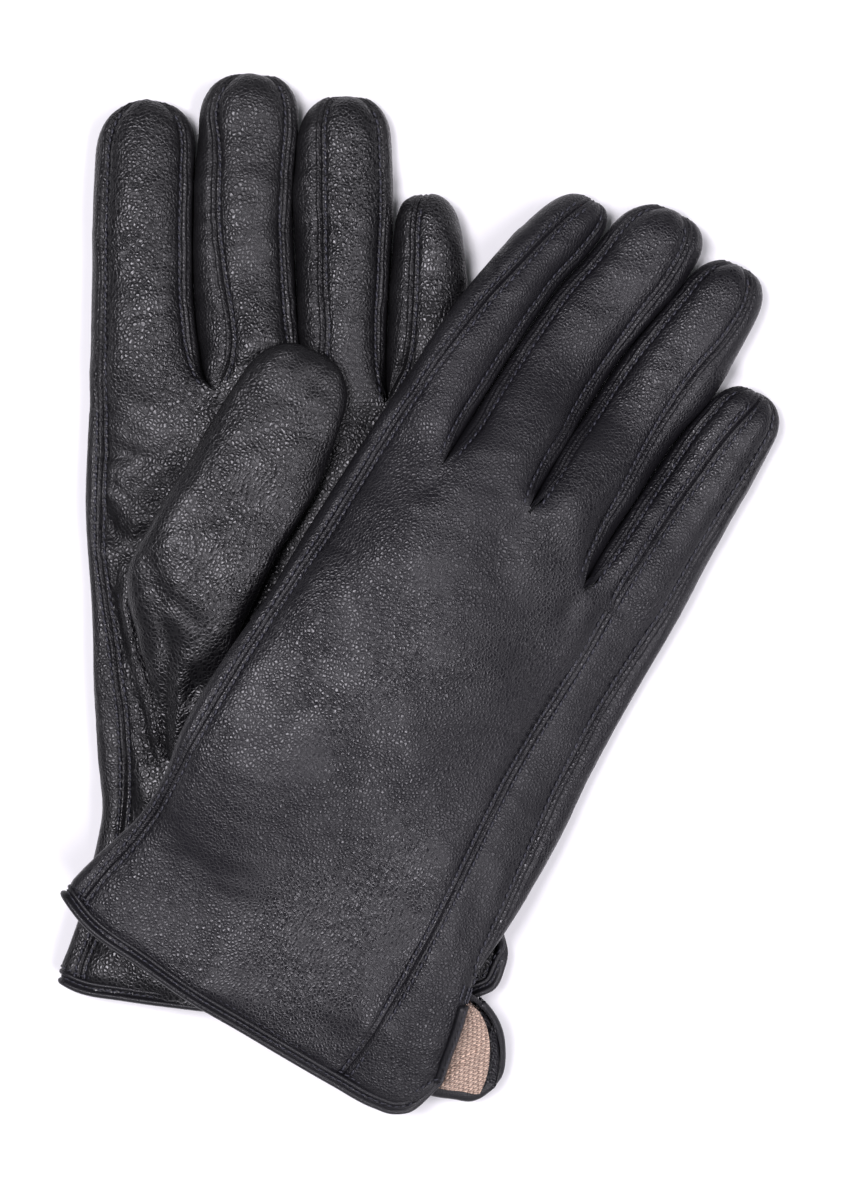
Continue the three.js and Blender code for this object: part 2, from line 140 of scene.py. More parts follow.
@dataclass(frozen=True)
class Line:
    """A smooth line v(u) through points (u, v): a cubic between each two, straight beyond the ends."""

    points: tuple[tuple[float, float], ...]

    def __call__(self, u: Array) -> Array:
        """Values of the line.

        Args:
            u: heights above the hem.

        Returns:
            v at each height. Each cubic leaves a point with the mean slope of the chords beside it.
        """
        x, y = np.array(self.points, float).T
        step = np.diff(x)
        chord = np.diff(y) / step
        inner = (chord[1:] * step[:-1] + chord[:-1] * step[1:]) / (step[1:] + step[:-1])
        slope = np.concatenate(([chord[0]], inner, [chord[-1]]))
        k = np.clip(np.searchsorted(x, u) - 1, 0, len(x) - 2)
        t = (u - x[k]) / step[k]
        s = np.clip(t, 0.0, 1.0)
        cubic = (
            y[k] * (1 + 2 * s) * (1 - s) ** 2
            + y[k + 1] * s * s * (3 - 2 * s)
            + step[k] * (slope[k] * s * (1 - s) ** 2 - slope[k + 1] * s * s * (1 - s))
        )
        before = np.minimum(t, 0.0) * step[k] * slope[0]
        after = np.maximum(t - 1.0, 0.0) * step[k] * slope[-1]
        return cubic + before + after


def angle_on_back(v: Array, left: Array, right: Array) -> Array:
    """Angle, 0 to 180 degrees, at which a section between two sides passes over the place v."""
    x = np.clip((2 * v - left - right) / (right - left), -1.0, 1.0)
    return np.degrees(np.arccos(np.sign(x) * np.abs(x) ** (SECTION_POWER / 2)))


@dataclass(frozen=True)
class Crease:
    """A groove (or, with a negative depth, a ridge) along a polyline of (v, u) points."""

    points: tuple[tuple[float, float], ...]
    depth: float
    width: float

    def __call__(self, v: Array, u: Array) -> Array:
        """Displacement at places of the lay: -depth exp(-(distance / width)^2)."""
        best = np.full(np.shape(v), 1e9)
        for (v0, u0), (v1, u1) in zip(self.points[:-1], self.points[1:]):
            dv, du = v1 - v0, u1 - u0
            t = np.clip(((v - v0) * dv + (u - u0) * du) / (dv * dv + du * du), 0, 1)
            best = np.minimum(best, (v - v0 - t * dv) ** 2 + (u - u0 - t * du) ** 2)
        return -self.depth * np.exp(-best / self.width**2)


@dataclass(frozen=True)
class Ripple:
    """Gentle unevenness of leather: a sum of sine waves with seeded directions and phases."""

    seed: int
    shortest: float
    longest: float
    height: float
    count: int = 22
    across: float = 1.0

    def __call__(self, v: Array, u: Array) -> Array:
        """The sum over the waves of height sin(2 pi (v cos a + u sin a) / length + phase)."""
        rng = np.random.default_rng(self.seed)
        lengths = np.exp(rng.uniform(np.log(self.shortest), np.log(self.longest), self.count))
        turns = rng.uniform(-1, 1, self.count) * self.across * math.pi / 2 + math.pi / 2
        phases = rng.uniform(0, 2 * math.pi, self.count)
        total = np.zeros(np.shape(v))
        for length, turn, phase in zip(lengths, turns, phases):
            wave = (v * math.cos(turn) + u * math.sin(turn)) * 2 * math.pi / length
            total = total + np.sin(wave + phase) * (length / self.longest)
        return total * self.height / math.sqrt(self.count / 4)


# ------------------------------------------------------------------------------------ mesh making


def normals_of(grid: Array) -> Array:
    """Unit normals of a grid of points, from the cross product of its two directions' differences."""
    down, along = np.gradient(grid, axis=0), np.gradient(grid, axis=1)
    normal = np.cross(along, down)
    return normal / np.maximum(np.linalg.norm(normal, axis=-1, keepdims=True), 1e-9)


def unit(vectors: Array) -> Array:
    """Vectors at length one."""
    return vectors / np.maximum(np.linalg.norm(vectors, axis=-1, keepdims=True), 1e-9)


def add_mesh(name: str, points: Array, faces: Array, normals: Array | None = None) -> bpy.types.Object:
    """Makes an object from arrays, with its faces turned outwards.

    Args:
        name: the piece's name.
        points: places in metres, one row each.
        faces: corner numbers, four to a row.
        normals: a direction for each point, for smooth shading across a joint.

    Returns:
        The new object, at the origin.
    """
    a, b, c, d = (points[faces[:, k]] for k in range(4))
    volume = np.sum(a * np.cross(b, c)) + np.sum(a * np.cross(c, d))
    if volume < 0:
        faces = faces[:, ::-1]
    mesh = bpy.data.meshes.new(name)
    mesh.from_pydata(points.tolist(), [], faces.tolist())
    mesh.polygons.foreach_set("use_smooth", np.ones(len(mesh.polygons), bool))
    mesh.update()
    if normals is not None:
        mesh.normals_split_custom_set_from_vertices(normals.tolist())
    obj = bpy.data.objects.new(name, mesh)
    bpy.context.scene.collection.objects.link(obj)
    return obj


def grid_faces(rows: int, columns: int, start: int = 0, closed: bool = False) -> Array:
    """Corner numbers of a grid's faces, four to a row. A closed grid joins its last column to its first."""
    wide = columns if closed else columns - 1
    r, c = np.meshgrid(np.arange(rows - 1), np.arange(wide), indexing="ij")
    near, far = r * columns + c, r * columns + (c + 1) % columns
    return start + np.stack([near, far, far + columns, near + columns], -1).reshape(-1, 4)


def shell_faces(rows: int, columns: int) -> Array:
    """Faces of a closed shell: an outer grid, an inner grid turned round, and walls at the four edges."""
    count = rows * columns
    outer = grid_faces(rows, columns)
    inner = grid_faces(rows, columns, count)[:, ::-1]
    loop = np.concatenate([
        np.arange(columns),
        np.arange(1, rows) * columns + columns - 1,
        (rows - 1) * columns + np.arange(columns - 2, -1, -1),
        np.arange(rows - 2, 0, -1) * columns,
    ])
    after = np.roll(loop, -1)
    walls = np.stack([after, loop, loop + count, after + count], -1)
    return np.concatenate([outer, inner, walls])


def tube_faces(rows: int, columns: int) -> Array:
    """Faces of a tube of closed rings, whose ends are each closed by a fan from a middle point."""
    sides = grid_faces(rows, columns, 0, closed=True)
    ring = np.arange(columns)
    after = (ring + 1) % columns
    first, last = rows * columns, rows * columns + 1
    top = (rows - 1) * columns
    pairs = ring[::2]
    cap = np.stack([np.full(len(pairs), first), (pairs + 2) % columns, after[::2], pairs], -1)
    end = np.stack([np.full(len(pairs), last), top + pairs, top + after[::2],
                    top + (pairs + 2) % columns], -1)
    return np.concatenate([sides, cap, end])


def spaced(lengths: Array, step: float) -> Array:
    """Distances of a strip's columns from its first edge, close together near both edges.

    Args:
        lengths: the strip's width at each row.
        step: spacing in the middle.

    Returns:
        One row of distances for each width. The edge columns keep their distances in millimetres,
        and those in the middle share out what is left.
    """
    near = np.array([0, 0.22, 0.45, 0.75, 1.1, 1.45, 1.8, 2.3, 3.1])
    widths = np.asarray(lengths, float)[:, None]
    scale = np.minimum(1.0, 0.46 * widths / near[-1])
    middle = max(int((float(np.median(lengths)) - 2 * near[-1]) / step), 1)
    share = np.linspace(0, 1, middle + 1)[1:-1] if middle > 1 else np.array([0.5])
    first = near * scale
    last = widths - (near * scale)[:, ::-1]
    inner = lerp(first[:, -1:], last[:, :1], share[None, :])
    return np.concatenate([first, inner, last], axis=1)


# ------------------------------------------------------------------------------------- the gloves


@dataclass(frozen=True)
class Lay:
    """Where a glove lies: the place of its v, u origin in millimetres, and its turn."""

    x: float
    y: float
    turn: float

    @classmethod
    def of_joint(cls, joint: dict, v: float, u: float) -> "Lay":
        """The lay in which a joint's line stands at (v, u) and runs across."""
        turn = math.atan2(joint["axis"][1], joint["axis"][0])
        c, s = math.cos(turn), math.sin(turn)
        x, y = (1000 * p for p in joint["pos_m"][:2])
        return cls(x - v * c + u * s, y - v * s - u * c, turn)

    def place(self, points: Array) -> Array:
        """Points of the lay, (v, u, z) in millimetres, in the frame, in metres."""
        v, u, z = np.moveaxis(points, -1, 0)
        c, s = math.cos(self.turn), math.sin(self.turn)
        return np.stack([self.x + v * c - u * s, self.y + v * s + u * c, z], -1) * METRES

    def direction(self, vectors: Array) -> Array:
        """Directions of the lay in the frame."""
        v, u, z = np.moveaxis(vectors, -1, 0)
        c, s = math.cos(self.turn), math.sin(self.turn)
        return np.stack([v * c - u * s, v * s + u * c, z], -1)

    def locate(self, x: Array, y: Array) -> tuple[Array, Array]:
        """The (v, u) of places in the frame, given in millimetres."""
        c, s = math.cos(self.turn), math.sin(self.turn)
        dx, dy = x - self.x, y - self.y
        return dx * c + dy * s, dy * c - dx * s


@dataclass(frozen=True)
class Finger:
    """A finger's outline: its two sides, where they leave the hand, and its tip.

    gap_left and gap_right say whether another finger stands beside it there. seams gives the angle
    of each seam round the finger at a height, and names gives the strips between them in order.
    """

    name: str
    left: Curve
    right: Curve
    roots: tuple[float, float]
    bend: float
    end: float
    tip: float
    gap_left: bool
    gap_right: bool
    names: tuple[str, ...]
    seams: tuple[Curve, ...]
    blunt: float = 0.4


def fixed(angle: float) -> Curve:
    """A seam that stays at one angle."""
    return lambda u: np.full(np.shape(u), float(angle))


@dataclass
class Glove:
    """One glove: its outline, how it is laid, and the surface of its hand and fingers."""

    name: str
    lay: Lay
    back_up: bool
    left: Line
    right: Line
    hem_top: Line
    hem_under: Line
    flare: tuple[float, float]
    fingers: list[Finger]
    seams: dict[str, Curve]
    creases: tuple[Crease, ...] = ()
    ripples: tuple[Ripple, ...] = ()
    lift: Callable[[Array, Array], Array] = field(default=lambda v, u: np.zeros(np.shape(v)))

    @property
    def face(self) -> float:
        """1 for a glove that lies back up, -1 for one that lies palm up."""
        return 1.0 if self.back_up else -1.0

    def sides(self, u: Array) -> tuple[Array, Array]:
        """Middle and half width of the hand."""
        left, right = self.left(u), self.right(u)
        return (left + right) / 2, (right - left) / 2

    def spread(self, angle: Array, u: Array) -> Array:
        """How far, 0 to 1, the palm's corner beside the vent is turned outwards.

        It eases in round the palm's little side, times (1 - t^2.2)^0.8 up the vent.
        """
        along = np.clip(u / (VENT_LENGTH + 3), 0.0, 1.0)
        return ease(angle, 270, 350) * (1 - along**2.2) ** 0.8

    def hand(self, angle: Array, u: Array) -> Array:
        """The hand's surface.

        The section is a rounded box between the two sides, v = middle + wide boxed(cos a) and
        z = level + high boxed(sin a), raised by the lift and with the vent's corner turned out.
        """
        turn = np.radians(angle)
        middle, wide = self.sides(u)
        v = middle + wide * boxed(np.cos(turn))
        rise = boxed(np.sin(turn)) * self.face
        z = np.maximum(LEVEL + HALF_HEIGHT * rise, 0.0)
        out = self.spread(angle, u)
        v, u = v + self.flare[0] * out, u + self.flare[1] * out
        if self.back_up:
            z = z * (1 - 0.62 * out)
        return np.stack([v, u, z + self.lift(v, u)], -1)

    def hand_plan(self, angle: Array, u: Array) -> Array:
        """v of the hand's surface, without the flare of its vent."""
        middle, wide = self.sides(u)
        return middle + wide * boxed(np.cos(np.radians(angle)))

    def finger(self, finger: Finger, angle: Array, u: Array) -> Array:
        """A finger's surface.

        At its root it is a slice of the hand, with upright walls where another finger stands beside
        it. Over the next stretch it turns into an oval of its own, which closes at the tip like
        (1 - t^p)^(1/p).
        """
        turn = np.radians(angle)
        cosine, sine = np.cos(turn), np.sin(turn)
        left, right = finger.left(u), finger.right(u)
        t = np.clip((u - finger.end + finger.tip) / finger.tip, 0.0, 1.0)
        cap = np.maximum(1.0 - t**2.3, 0.0) ** (1 / 2.3)
        half = (right - left) / 2 * lerp(finger.blunt, 1.0, cap)
        middle = (left + right) / 2
        free = boxed(cosine)
        root = lerp(finger.roots[0], finger.roots[1], (free + 1) / 2)
        w = ease(u, root, root + ROOT_BLEND)
        gap = np.where(cosine > 0, finger.gap_right, finger.gap_left)
        edge = math.radians(EDGE_ANGLE)
        walled = np.clip(free / boxed(np.array(math.cos(edge))), -1.0, 1.0)
        x = np.where(gap, lerp(walled, free, w), free)
        v = middle + half * x
        hand_middle, hand_wide = self.sides(u)
        side = np.where(gap, np.clip(sine / math.sin(edge), -1, 1), np.sign(sine))
        z_hand = HALF_HEIGHT * arch((v - hand_middle) / hand_wide) * side
        high = HALF_HEIGHT * lerp(0.07, 1.0, cap)
        crown = 1.3 * w * cap * np.maximum(sine * self.face, 0.0) ** 3
        z = LEVEL + lerp(z_hand, high * boxed(sine), w) * self.face + crown
        return np.stack([v, u, np.maximum(z, 0.0) + self.lift(v, u)], -1)

    def relief(self, angle: Array, v: Array, u: Array) -> Array:
        """Creases and unevenness of the side that lies upwards, less the press of the binding."""
        upward = np.sin(np.radians(angle)) * self.face
        total = sum((crease(v, u) for crease in self.creases), np.zeros(np.shape(v)))
        for ripple in self.ripples:
            total = total + ripple(v, u)
        return total * ease(upward, -0.1, 0.35) - self.bound(angle, v, u)

    def bound(self, angle: Array, v: Array, u: Array) -> Array:
        """How far the leather is pressed in where the binding grips it, fading out above the hem."""
        hem = np.where(np.sin(np.radians(angle)) * self.face > 0, self.hem_top(v), self.hem_under(v))
        return HEM_PRESS * (1 - ease(u - hem, *HEM_GRIP))

    def hem(self, angle: Array, v: Array) -> Array:
        """Height of the cut edge at a place, on the upper or the under side."""
        share = ease(np.sin(np.radians(angle)) * self.face, -0.12, 0.12)
        return lerp(self.hem_under(v), self.hem_top(v), share)


def seam_edge(distance: Array) -> Array:
    """Height of leather near a sewn edge: it rolls down into the seam, and dips under the thread."""
    roll = -SEAM_ROLL * np.exp(-((np.abs(distance) / SEAM_WIDTH) ** 1.6))
    thread = -THREAD_CHANNEL * np.exp(-(((distance - STITCH_INSET) / SEAM_WIDTH) ** 2))
    return roll + thread


@dataclass
class Strip:
    """One piece of leather or lining between two seams, on a glove's hand or on a finger."""

    glove: Glove
    surface: Surface
    heights: Callable[[Array, Array], Array]
    first: Curve
    last: Curve
    rows: Array
    sewn: tuple[bool, bool] = (True, True)
    ramps: tuple[float, float] = (0.0, 0.0)
    depth: float = 0.0
    thickness: float = LEATHER
    tuck: float = 0.0

    def solve(self, share: Array) -> tuple[Array, Array]:
        """Angles and heights where rows cross columns: each height follows its angle, by repeating."""
        t = self.rows[:, None] + np.zeros_like(share)
        u = self.heights(np.full_like(t, 90.0), t)
        for _ in range(14):
            angle = lerp(self.first(u), self.last(u), share)
            u = (u + self.heights(angle, t)) / 2
        return angle, u

    def spread(self) -> tuple[Array, Array, Array, Array]:
        """Angles and heights of the grid, and each point's distance from the two seams."""
        samples = np.linspace(0, 1, 90)[None, :] + np.zeros((len(self.rows), 1))
        line = self.surface(*self.solve(samples))
        run = np.linalg.norm(np.diff(line, axis=1), axis=-1)
        reach = np.concatenate([np.zeros((len(run), 1)), np.cumsum(run, axis=1)], axis=1)
        lengths = np.maximum(reach[:, -1], 0.3)
        distance = spaced(lengths, COLUMN_STEP)
        share = np.stack([np.interp(d, r, samples[0]) for d, r in zip(distance, reach)])
        angle, u = self.solve(share)
        return angle, u, distance, lengths[:, None] - distance

    def seams(self, distances: Sequence[Array]) -> Array:
        """Height of the leather beside its two seams. A ramp fades a seam in from the root."""
        rise, plateau = 0.0, SWELL
        for distance, sewn, ramp in zip(distances, self.sewn, self.ramps):
            strength = ease(self.rows, 0.0, ramp)[:, None] if ramp else 1.0
            if sewn:
                rise = rise + strength * seam_edge(distance)
                plateau = plateau * lerp(1.0, ease(distance, 1.8, 5.5), strength)
        return rise + plateau

    def build(self, name: str) -> bpy.types.Object:
        """The closed shell of the piece.

        Leather's outer skin is the surface moved along its normals by the seam edges and the
        relief. A lining lies deeper and follows only the hollows of the relief. The inner skin lies
        under the outer one by the thickness. The first and last rows only steady the normals, and a
        tucked piece ends a little lower, under its neighbour.
        """
        angle, u, from_first, from_last = self.spread()
        base = self.surface(angle, u)
        normal = outward(base, angle, self.glove.face)
        rise = self.glove.relief(angle, base[..., 0], base[..., 1])
        if self.depth == 0:
            rise = rise + self.seams((from_first, from_last))
        else:
            rise = np.minimum(rise, 0.0) * 1.15
        outer = base + normal * (rise - self.depth)[..., None]
        shade = outward(outer, angle, self.glove.face)
        outer[-2] -= normal[-2] * self.tuck
        inner = outer - normal * self.thickness
        inner[..., 2] = np.maximum(inner[..., 2], 0.05)
        outer[..., 2] = np.maximum(outer[..., 2], 0.0)
        keep = slice(1, -1)
        outer, inner, shade = outer[keep], inner[keep], shade[keep]
        rows, columns = outer.shape[:2]
        lay = self.glove.lay
        points = lay.place(np.concatenate([outer.reshape(-1, 3), inner.reshape(-1, 3)]))
        normals = lay.direction(np.concatenate([shade.reshape(-1, 3), -shade.reshape(-1, 3)]))
        obj = add_mesh(name, points, shell_faces(rows, columns), normals)
        set_map(obj, np.tile(from_first[keep].ravel(), 2), np.tile(u[keep].ravel(), 2))
        return obj


def outward(grid: Array, angle: Array, face: float) -> Array:
    """A grid's normals, turned to the outside: up where the section's angle looks up."""
    normal = normals_of(grid)
    upward = np.sin(np.radians(angle)) * face
    if np.abs(upward).mean() < 0.3:
        towards = np.cos(np.radians(angle))
        return normal * np.sign(np.sum(normal[..., 0] * towards))
    return normal * np.sign(np.sum(normal[..., 2] * upward))


def set_map(obj: bpy.types.Object, across: Array, along: Array) -> None:
    """Lays a UV map in millimetres over a piece: U across it and V along it."""
    layer = obj.data.uv_layers.new(name="cloth")
    corner = np.zeros(len(obj.data.loops), np.int32)
    obj.data.loops.foreach_get("vertex_index", corner)
    layer.data.foreach_set("uv", np.stack([across[corner], along[corner]], -1).ravel())


def flat_map(obj: bpy.types.Object) -> None:
    """Gives a piece that stays hidden the map its material reads, with no pattern in it."""
    still = np.zeros(len(obj.data.vertices))
    set_map(obj, still, still)


# -------------------------------------------------------------------------------- stitches, binding


def resample(path: Array, pitch: float) -> tuple[Array, Array]:
    """Points at an even pitch along a polyline, and the numbers of the path's points before them."""
    run = np.concatenate([[0], np.cumsum(np.linalg.norm(np.diff(path, axis=0), axis=1))])
    places = np.arange(pitch / 2, run[-1], pitch)
    at = np.stack([np.interp(places, run, path[:, k]) for k in range(3)], -1)
    return at, np.interp(places, run, np.arange(len(path)))


def capsule() -> tuple[Array, Array]:
    """A unit stitch: an ellipsoid of revolution of five rings of six points, along x."""
    turns = np.linspace(0, 2 * np.pi, 6, endpoint=False)
    x = np.array([-1, -0.72, 0, 0.72, 1.0])
    r = np.array([0.12, 0.72, 1.0, 0.72, 0.12])
    ring = np.stack([np.zeros(6), np.cos(turns), np.sin(turns)], -1)
    points = ring[None] * r[:, None, None] + np.array([1.0, 0, 0]) * x[:, None, None]
    points = np.concatenate([points.reshape(-1, 3), [[-1.05, 0, 0], [1.05, 0, 0]]])
    return points, tube_faces(5, 6)


@dataclass(frozen=True)
class Thread:
    """A row of stitches: how long and thick each is, and how they are spaced."""

    pitch: float = STITCH_PITCH
    length: float = 1.7
    radius: float = 0.38
    sink: float = 0.16
    slant: float = 0.16
    flatness: float = 0.85

    def sew(self, path: Array, normals: Array) -> tuple[Array, Array]:
        """Points and faces of the stitches along a path of points with their normals.

        Each stitch is the unit one, stretched to its length along the path, flattened a little
        against the leather, sunk into it, and turned a little across the row.
        """
        at, number = resample(path, self.pitch)
        if not len(at):
            return np.zeros((0, 3)), np.zeros((0, 4), int)
        tangent = unit(np.stack([
            np.interp(number, np.arange(len(path)), np.gradient(path[:, k])) for k in range(3)], -1))
        normal = np.stack([
            np.interp(number, np.arange(len(path)), normals[:, k]) for k in range(3)], -1)
        normal = unit(normal - tangent * np.sum(normal * tangent, -1, keepdims=True))
        side = np.cross(normal, tangent)
        turned = unit(tangent + self.slant * side)
        template, faces = capsule()
        points = (
            at[:, None]
            + turned[:, None] * template[None, :, :1] * self.length / 2
            + side[:, None] * template[None, :, 1:2] * self.radius
            + normal[:, None] * (template[None, :, 2:] * self.radius * self.flatness - self.sink)
        )
        count = len(template)
        all_faces = faces[None] + (np.arange(len(at)) * count)[:, None, None]
        return points.reshape(-1, 3), all_faces.reshape(-1, 4)


class Sewing:
    """Gathers rows of stitches that move together into one piece."""

    def __init__(self, glove: Glove, name: str) -> None:
        """Starts an empty piece of sewing on a glove."""
        self.glove, self.name = glove, name
        self.points: list[Array] = []
        self.faces: list[Array] = []

    def add(self, path: Array, normals: Array, thread: Thread = Thread()) -> None:
        """Sews one row."""
        points, faces = thread.sew(path, normals)
        start = sum(len(p) for p in self.points)
        self.points.append(points)
        self.faces.append(faces + start)

    def follow(self, surface: Surface, line: Curve, span: tuple[float, float], inset: float,
               thread: Thread = Thread()) -> None:
        """Sews a row beside a seam of a surface.

        Args:
            surface: where the seam lies.
            line: the seam's angle at each height.
            span: the heights between which the row runs.
            inset: how far from the seam, positive towards greater angles.
            thread: the stitches.
        """
        u = np.arange(span[0], span[1], 0.6)
        angle = line(u)
        probe = 0.5
        ahead = surface(angle + probe, u) - surface(angle - probe, u)
        angle = angle + inset * 2 * probe / np.maximum(np.linalg.norm(ahead, axis=-1), 0.02)
        points = surface(angle, u)
        across = surface(angle + probe, u) - surface(angle - probe, u)
        along = surface(angle, u + probe) - surface(angle, u - probe)
        normal = unit(np.cross(across, along))
        normal = normal * np.sign(np.sum(
            normal[:, 2] * np.sin(np.radians(angle)) * self.glove.face) + 1e-9)
        self.add(points, normal, thread)

    def make(self) -> bpy.types.Object:
        """The piece of sewing."""
        gathered = np.concatenate(self.points)
        gathered[:, 2] = np.maximum(gathered[:, 2], 0.02)
        points = self.glove.lay.place(gathered)
        return add_mesh(self.name, points, np.concatenate(self.faces))


BINDING_PROFILE = (
    (0.0, 0.0), (0.1, 0.6), (0.38, 1.08), (0.85, 1.34), (1.3, 1.28), (1.65, 0.9), (1.95, 0.36),
    (2.35, 0.12), (2.75, 0.36), (3.0, 0.82), (3.35, 1.1), (3.75, 1.04), (4.05, 0.78), (4.2, 0.4),
    (4.1, -0.6), (3.8, -1.1), (3.0, -1.3), (1.6, -1.4), (0.7, -1.2), (0.2, -0.7),
)
BINDING_ROWS = ((2.35, 0.42), (5.0, 0.72))
BINDING_SINK = 0.75


@dataclass
class Binding:
    """The rolled leather edge round the cuff and up both sides of the vent.

    The profile is a roll with a stitched groove and a second, narrower ridge beside it. It is
    carried along the edge, with its first axis into the glove and its second out of the leather.
    """

    glove: Glove

    def path(self) -> tuple[Array, Array, Array]:
        """Points, normals and inward directions along the edge, from the vent's head down its back
        edge, round the hem, and up its palm edge."""
        glove = self.glove
        turn = np.linspace(0.0, 360.0, 420)
        corner = hem_heights(glove, turn)
        down = np.linspace(VENT_LENGTH, corner[0], 26)[:-1]
        rise = np.linspace(corner[-1], VENT_LENGTH, 26)[1:]
        angle = np.concatenate([np.zeros(len(down)), turn, np.full(len(rise), 360.0)])
        u = np.concatenate([down, corner, rise])
        point = glove.hand(angle, u)
        inside = np.clip(angle, 1.0, 359.0)
        across = glove.hand(inside + 0.5, u) - glove.hand(inside - 0.5, u)
        along = glove.hand(inside, u + 0.5) - glove.hand(inside, u - 0.5)
        normal = unit(np.cross(along, across)) * glove.face
        run = np.concatenate([[0], np.cumsum(np.linalg.norm(np.diff(point, axis=0), axis=1))])
        places = np.linspace(0, run[-1], int(run[-1] / 1.1))
        number = np.interp(places, run, np.arange(len(point)))
        pick = np.arange(len(point))
        point, normal = (
            np.stack([np.interp(number, pick, a[:, k]) for k in range(3)], -1)
            for a in (point, normal))
        kernel = np.ones(5) / 5
        for _ in range(2):
            normal = np.stack([
                np.convolve(np.pad(normal[:, k], 2, "edge"), kernel, "valid") for k in range(3)], -1)
            point[1:-1] = (point[:-2] + 2 * point[1:-1] + point[2:]) / 4
        tangent = unit(np.gradient(point, axis=0))
        normal = unit(normal - tangent * np.sum(normal * tangent, -1, keepdims=True))
        inward = np.cross(normal, tangent)
        middle = len(point) // 2
        inward = inward * np.sign(inward[middle, 1])
        return point - normal * BINDING_SINK, normal, inward

    def build(self, name: str) -> bpy.types.Object:
        """The binding: the profile at each point of the path, with closed ends."""
        point, normal, inward = self.path()
        profile = np.array(BINDING_PROFILE)
        rings = (point[:, None] + inward[:, None] * profile[None, :, :1]
                 + normal[:, None] * profile[None, :, 1:])
        ends = np.stack([rings[0].mean(0), rings[-1].mean(0)])
        points = np.concatenate([rings.reshape(-1, 3), ends])
        points[:, 2] = np.maximum(points[:, 2], 0.05)
        faces = tube_faces(len(rings), len(profile))
        return add_mesh(name, self.glove.lay.place(points), faces)

    def rows(self, sewing: Sewing) -> None:
        """The row of stitches in the groove and the row beside the second ridge."""
        point, normal, inward = self.path()
        for inset, rise in BINDING_ROWS:
            sewing.add(point + inward * inset + normal * rise, normal,
                       Thread(pitch=2.0, length=1.4, radius=0.27, sink=0.05))


def hem_heights(glove: Glove, angle: Array) -> Array:
    """Height of the cut edge at angles round the cuff, found by repeating."""
    u = np.zeros(np.shape(angle))
    for _ in range(40):
        u = (2 * u + glove.hem(angle, glove.hand_plan(angle, u))) / 3
    return u


# -------------------------------------------------------------------------------------- the thumbs


@dataclass
class Thumb:
    """A thumb: one skin that rises out of the palm along its seam and lies along the glove.

    q runs across the thumb and r along it. Below the palm line (r < 0) it is a low gusset whose
    edge follows the thumb hole's seam.
    """

    glove: Glove
    at: tuple[float, float]
    turn: float
    left: Line
    right: Line
    crown: Line
    start: float
    end: float
    tip: float
    base: Surface
    upward: float
    creases: tuple[Crease, ...] = ()
    ripples: tuple[Ripple, ...] = ()

    def plan(self, q: Array, r: Array) -> tuple[Array, Array]:
        """(v, u) of places of the thumb."""
        c, s = math.cos(self.turn), math.sin(self.turn)
        return self.at[0] + q * c + r * s, self.at[1] - q * s + r * c

    def surface(self, angle: Array, r: Array) -> Array:
        """The thumb's skin: a rounded box as tall as the crown over the base, closing at the tip."""
        turn = np.radians(angle)
        t = np.clip((r - self.end + self.tip) / self.tip, 0.0, 1.0)
        cap = np.maximum(1.0 - t**2.2, 0.0) ** (1 / 2.2)
        left, right = self.left(r), self.right(r)
        half = (right - left) / 2 * lerp(0.08, 1.0, cap)
        q = (left + right) / 2 + half * boxed(np.cos(turn))
        high = self.crown(r) / 2
        sine = np.sin(turn)
        k = high + high * lerp(0.1, 1.0, cap) * np.sign(sine) * np.abs(sine) ** (2.0 / 2.3)
        v, u = self.plan(q, r)
        return np.stack([v, u, self.base(v, u) + k * self.upward], -1)

    def rings(self, start: float, depth: float, columns: int) -> Array:
        """Rings of points round the thumb from a distance along it to the tip, under a depth."""
        body = np.arange(start, self.end - self.tip, 1.3)
        cap = self.end - self.tip + self.tip * np.sin(np.linspace(0, np.pi / 2, 16))
        r = np.concatenate([body, cap])[:, None] + np.zeros((1, columns))
        angle = np.linspace(0, 360, columns, endpoint=False)[None, :] + np.zeros_like(r)
        base = self.surface(angle, r)
        around = self.surface(angle + 1.0, r) - self.surface(angle - 1.0, r)
        along = self.surface(angle, r + 0.4) - self.surface(angle, r - 0.4)
        normal = unit(np.cross(around, along))
        sine = np.sin(np.radians(angle))
        normal = normal * np.sign(np.sum(normal[..., 2] * sine) * self.upward)
        rise = sum((c(base[..., 0], base[..., 1]) for c in (*self.creases, *self.ripples)),
                   np.zeros(r.shape))
        lift = rise * ease(sine, -0.1, 0.4) if depth == 0 else -depth
        return base + normal * (lift + np.zeros(r.shape))[..., None]

    def build(self, name: str) -> bpy.types.Object:
        """The thumb's leather, closed at its tip and under the palm."""
        return make_tube(name, self.glove.lay, self.rings(self.start, 0.0, 96))

    def build_lining(self, name: str, start: float) -> bpy.types.Object:
        """The stall of lining in the thumb: a sock with an outer and an inner skin."""
        return make_sock(name, self.glove.lay, self.rings(start, LINING_DEPTH, 32),
                         self.rings(start, LINING_DEPTH + LINING, 32))


def make_tube(name: str, lay: Lay, rings: Array) -> bpy.types.Object:
    """A closed tube through rings of points in a lay."""
    ends = np.stack([rings[0].mean(0), rings[-1].mean(0)])
    points = np.concatenate([rings.reshape(-1, 3), ends])
    return add_mesh(name, lay.place(points), tube_faces(*rings.shape[:2]))


def make_sock(name: str, lay: Lay, outer: Array, inner: Array) -> bpy.types.Object:
    """A thin sock: rings down the outside from the toe to the mouth, and up the inside to the toe."""
    return make_tube(name, lay, np.concatenate([outer[::-1], inner]))


# ----------------------------------------------------------------------------------- the two gloves


def gap_line(gap: Line, crotch: float, side: float) -> Curve:
    """One side of the narrow gap between two fingers, which opens from the crotch upwards."""
    return lambda u: gap(u) + side * (0.12 + 0.34 * ease(u, crotch, crotch + 26))


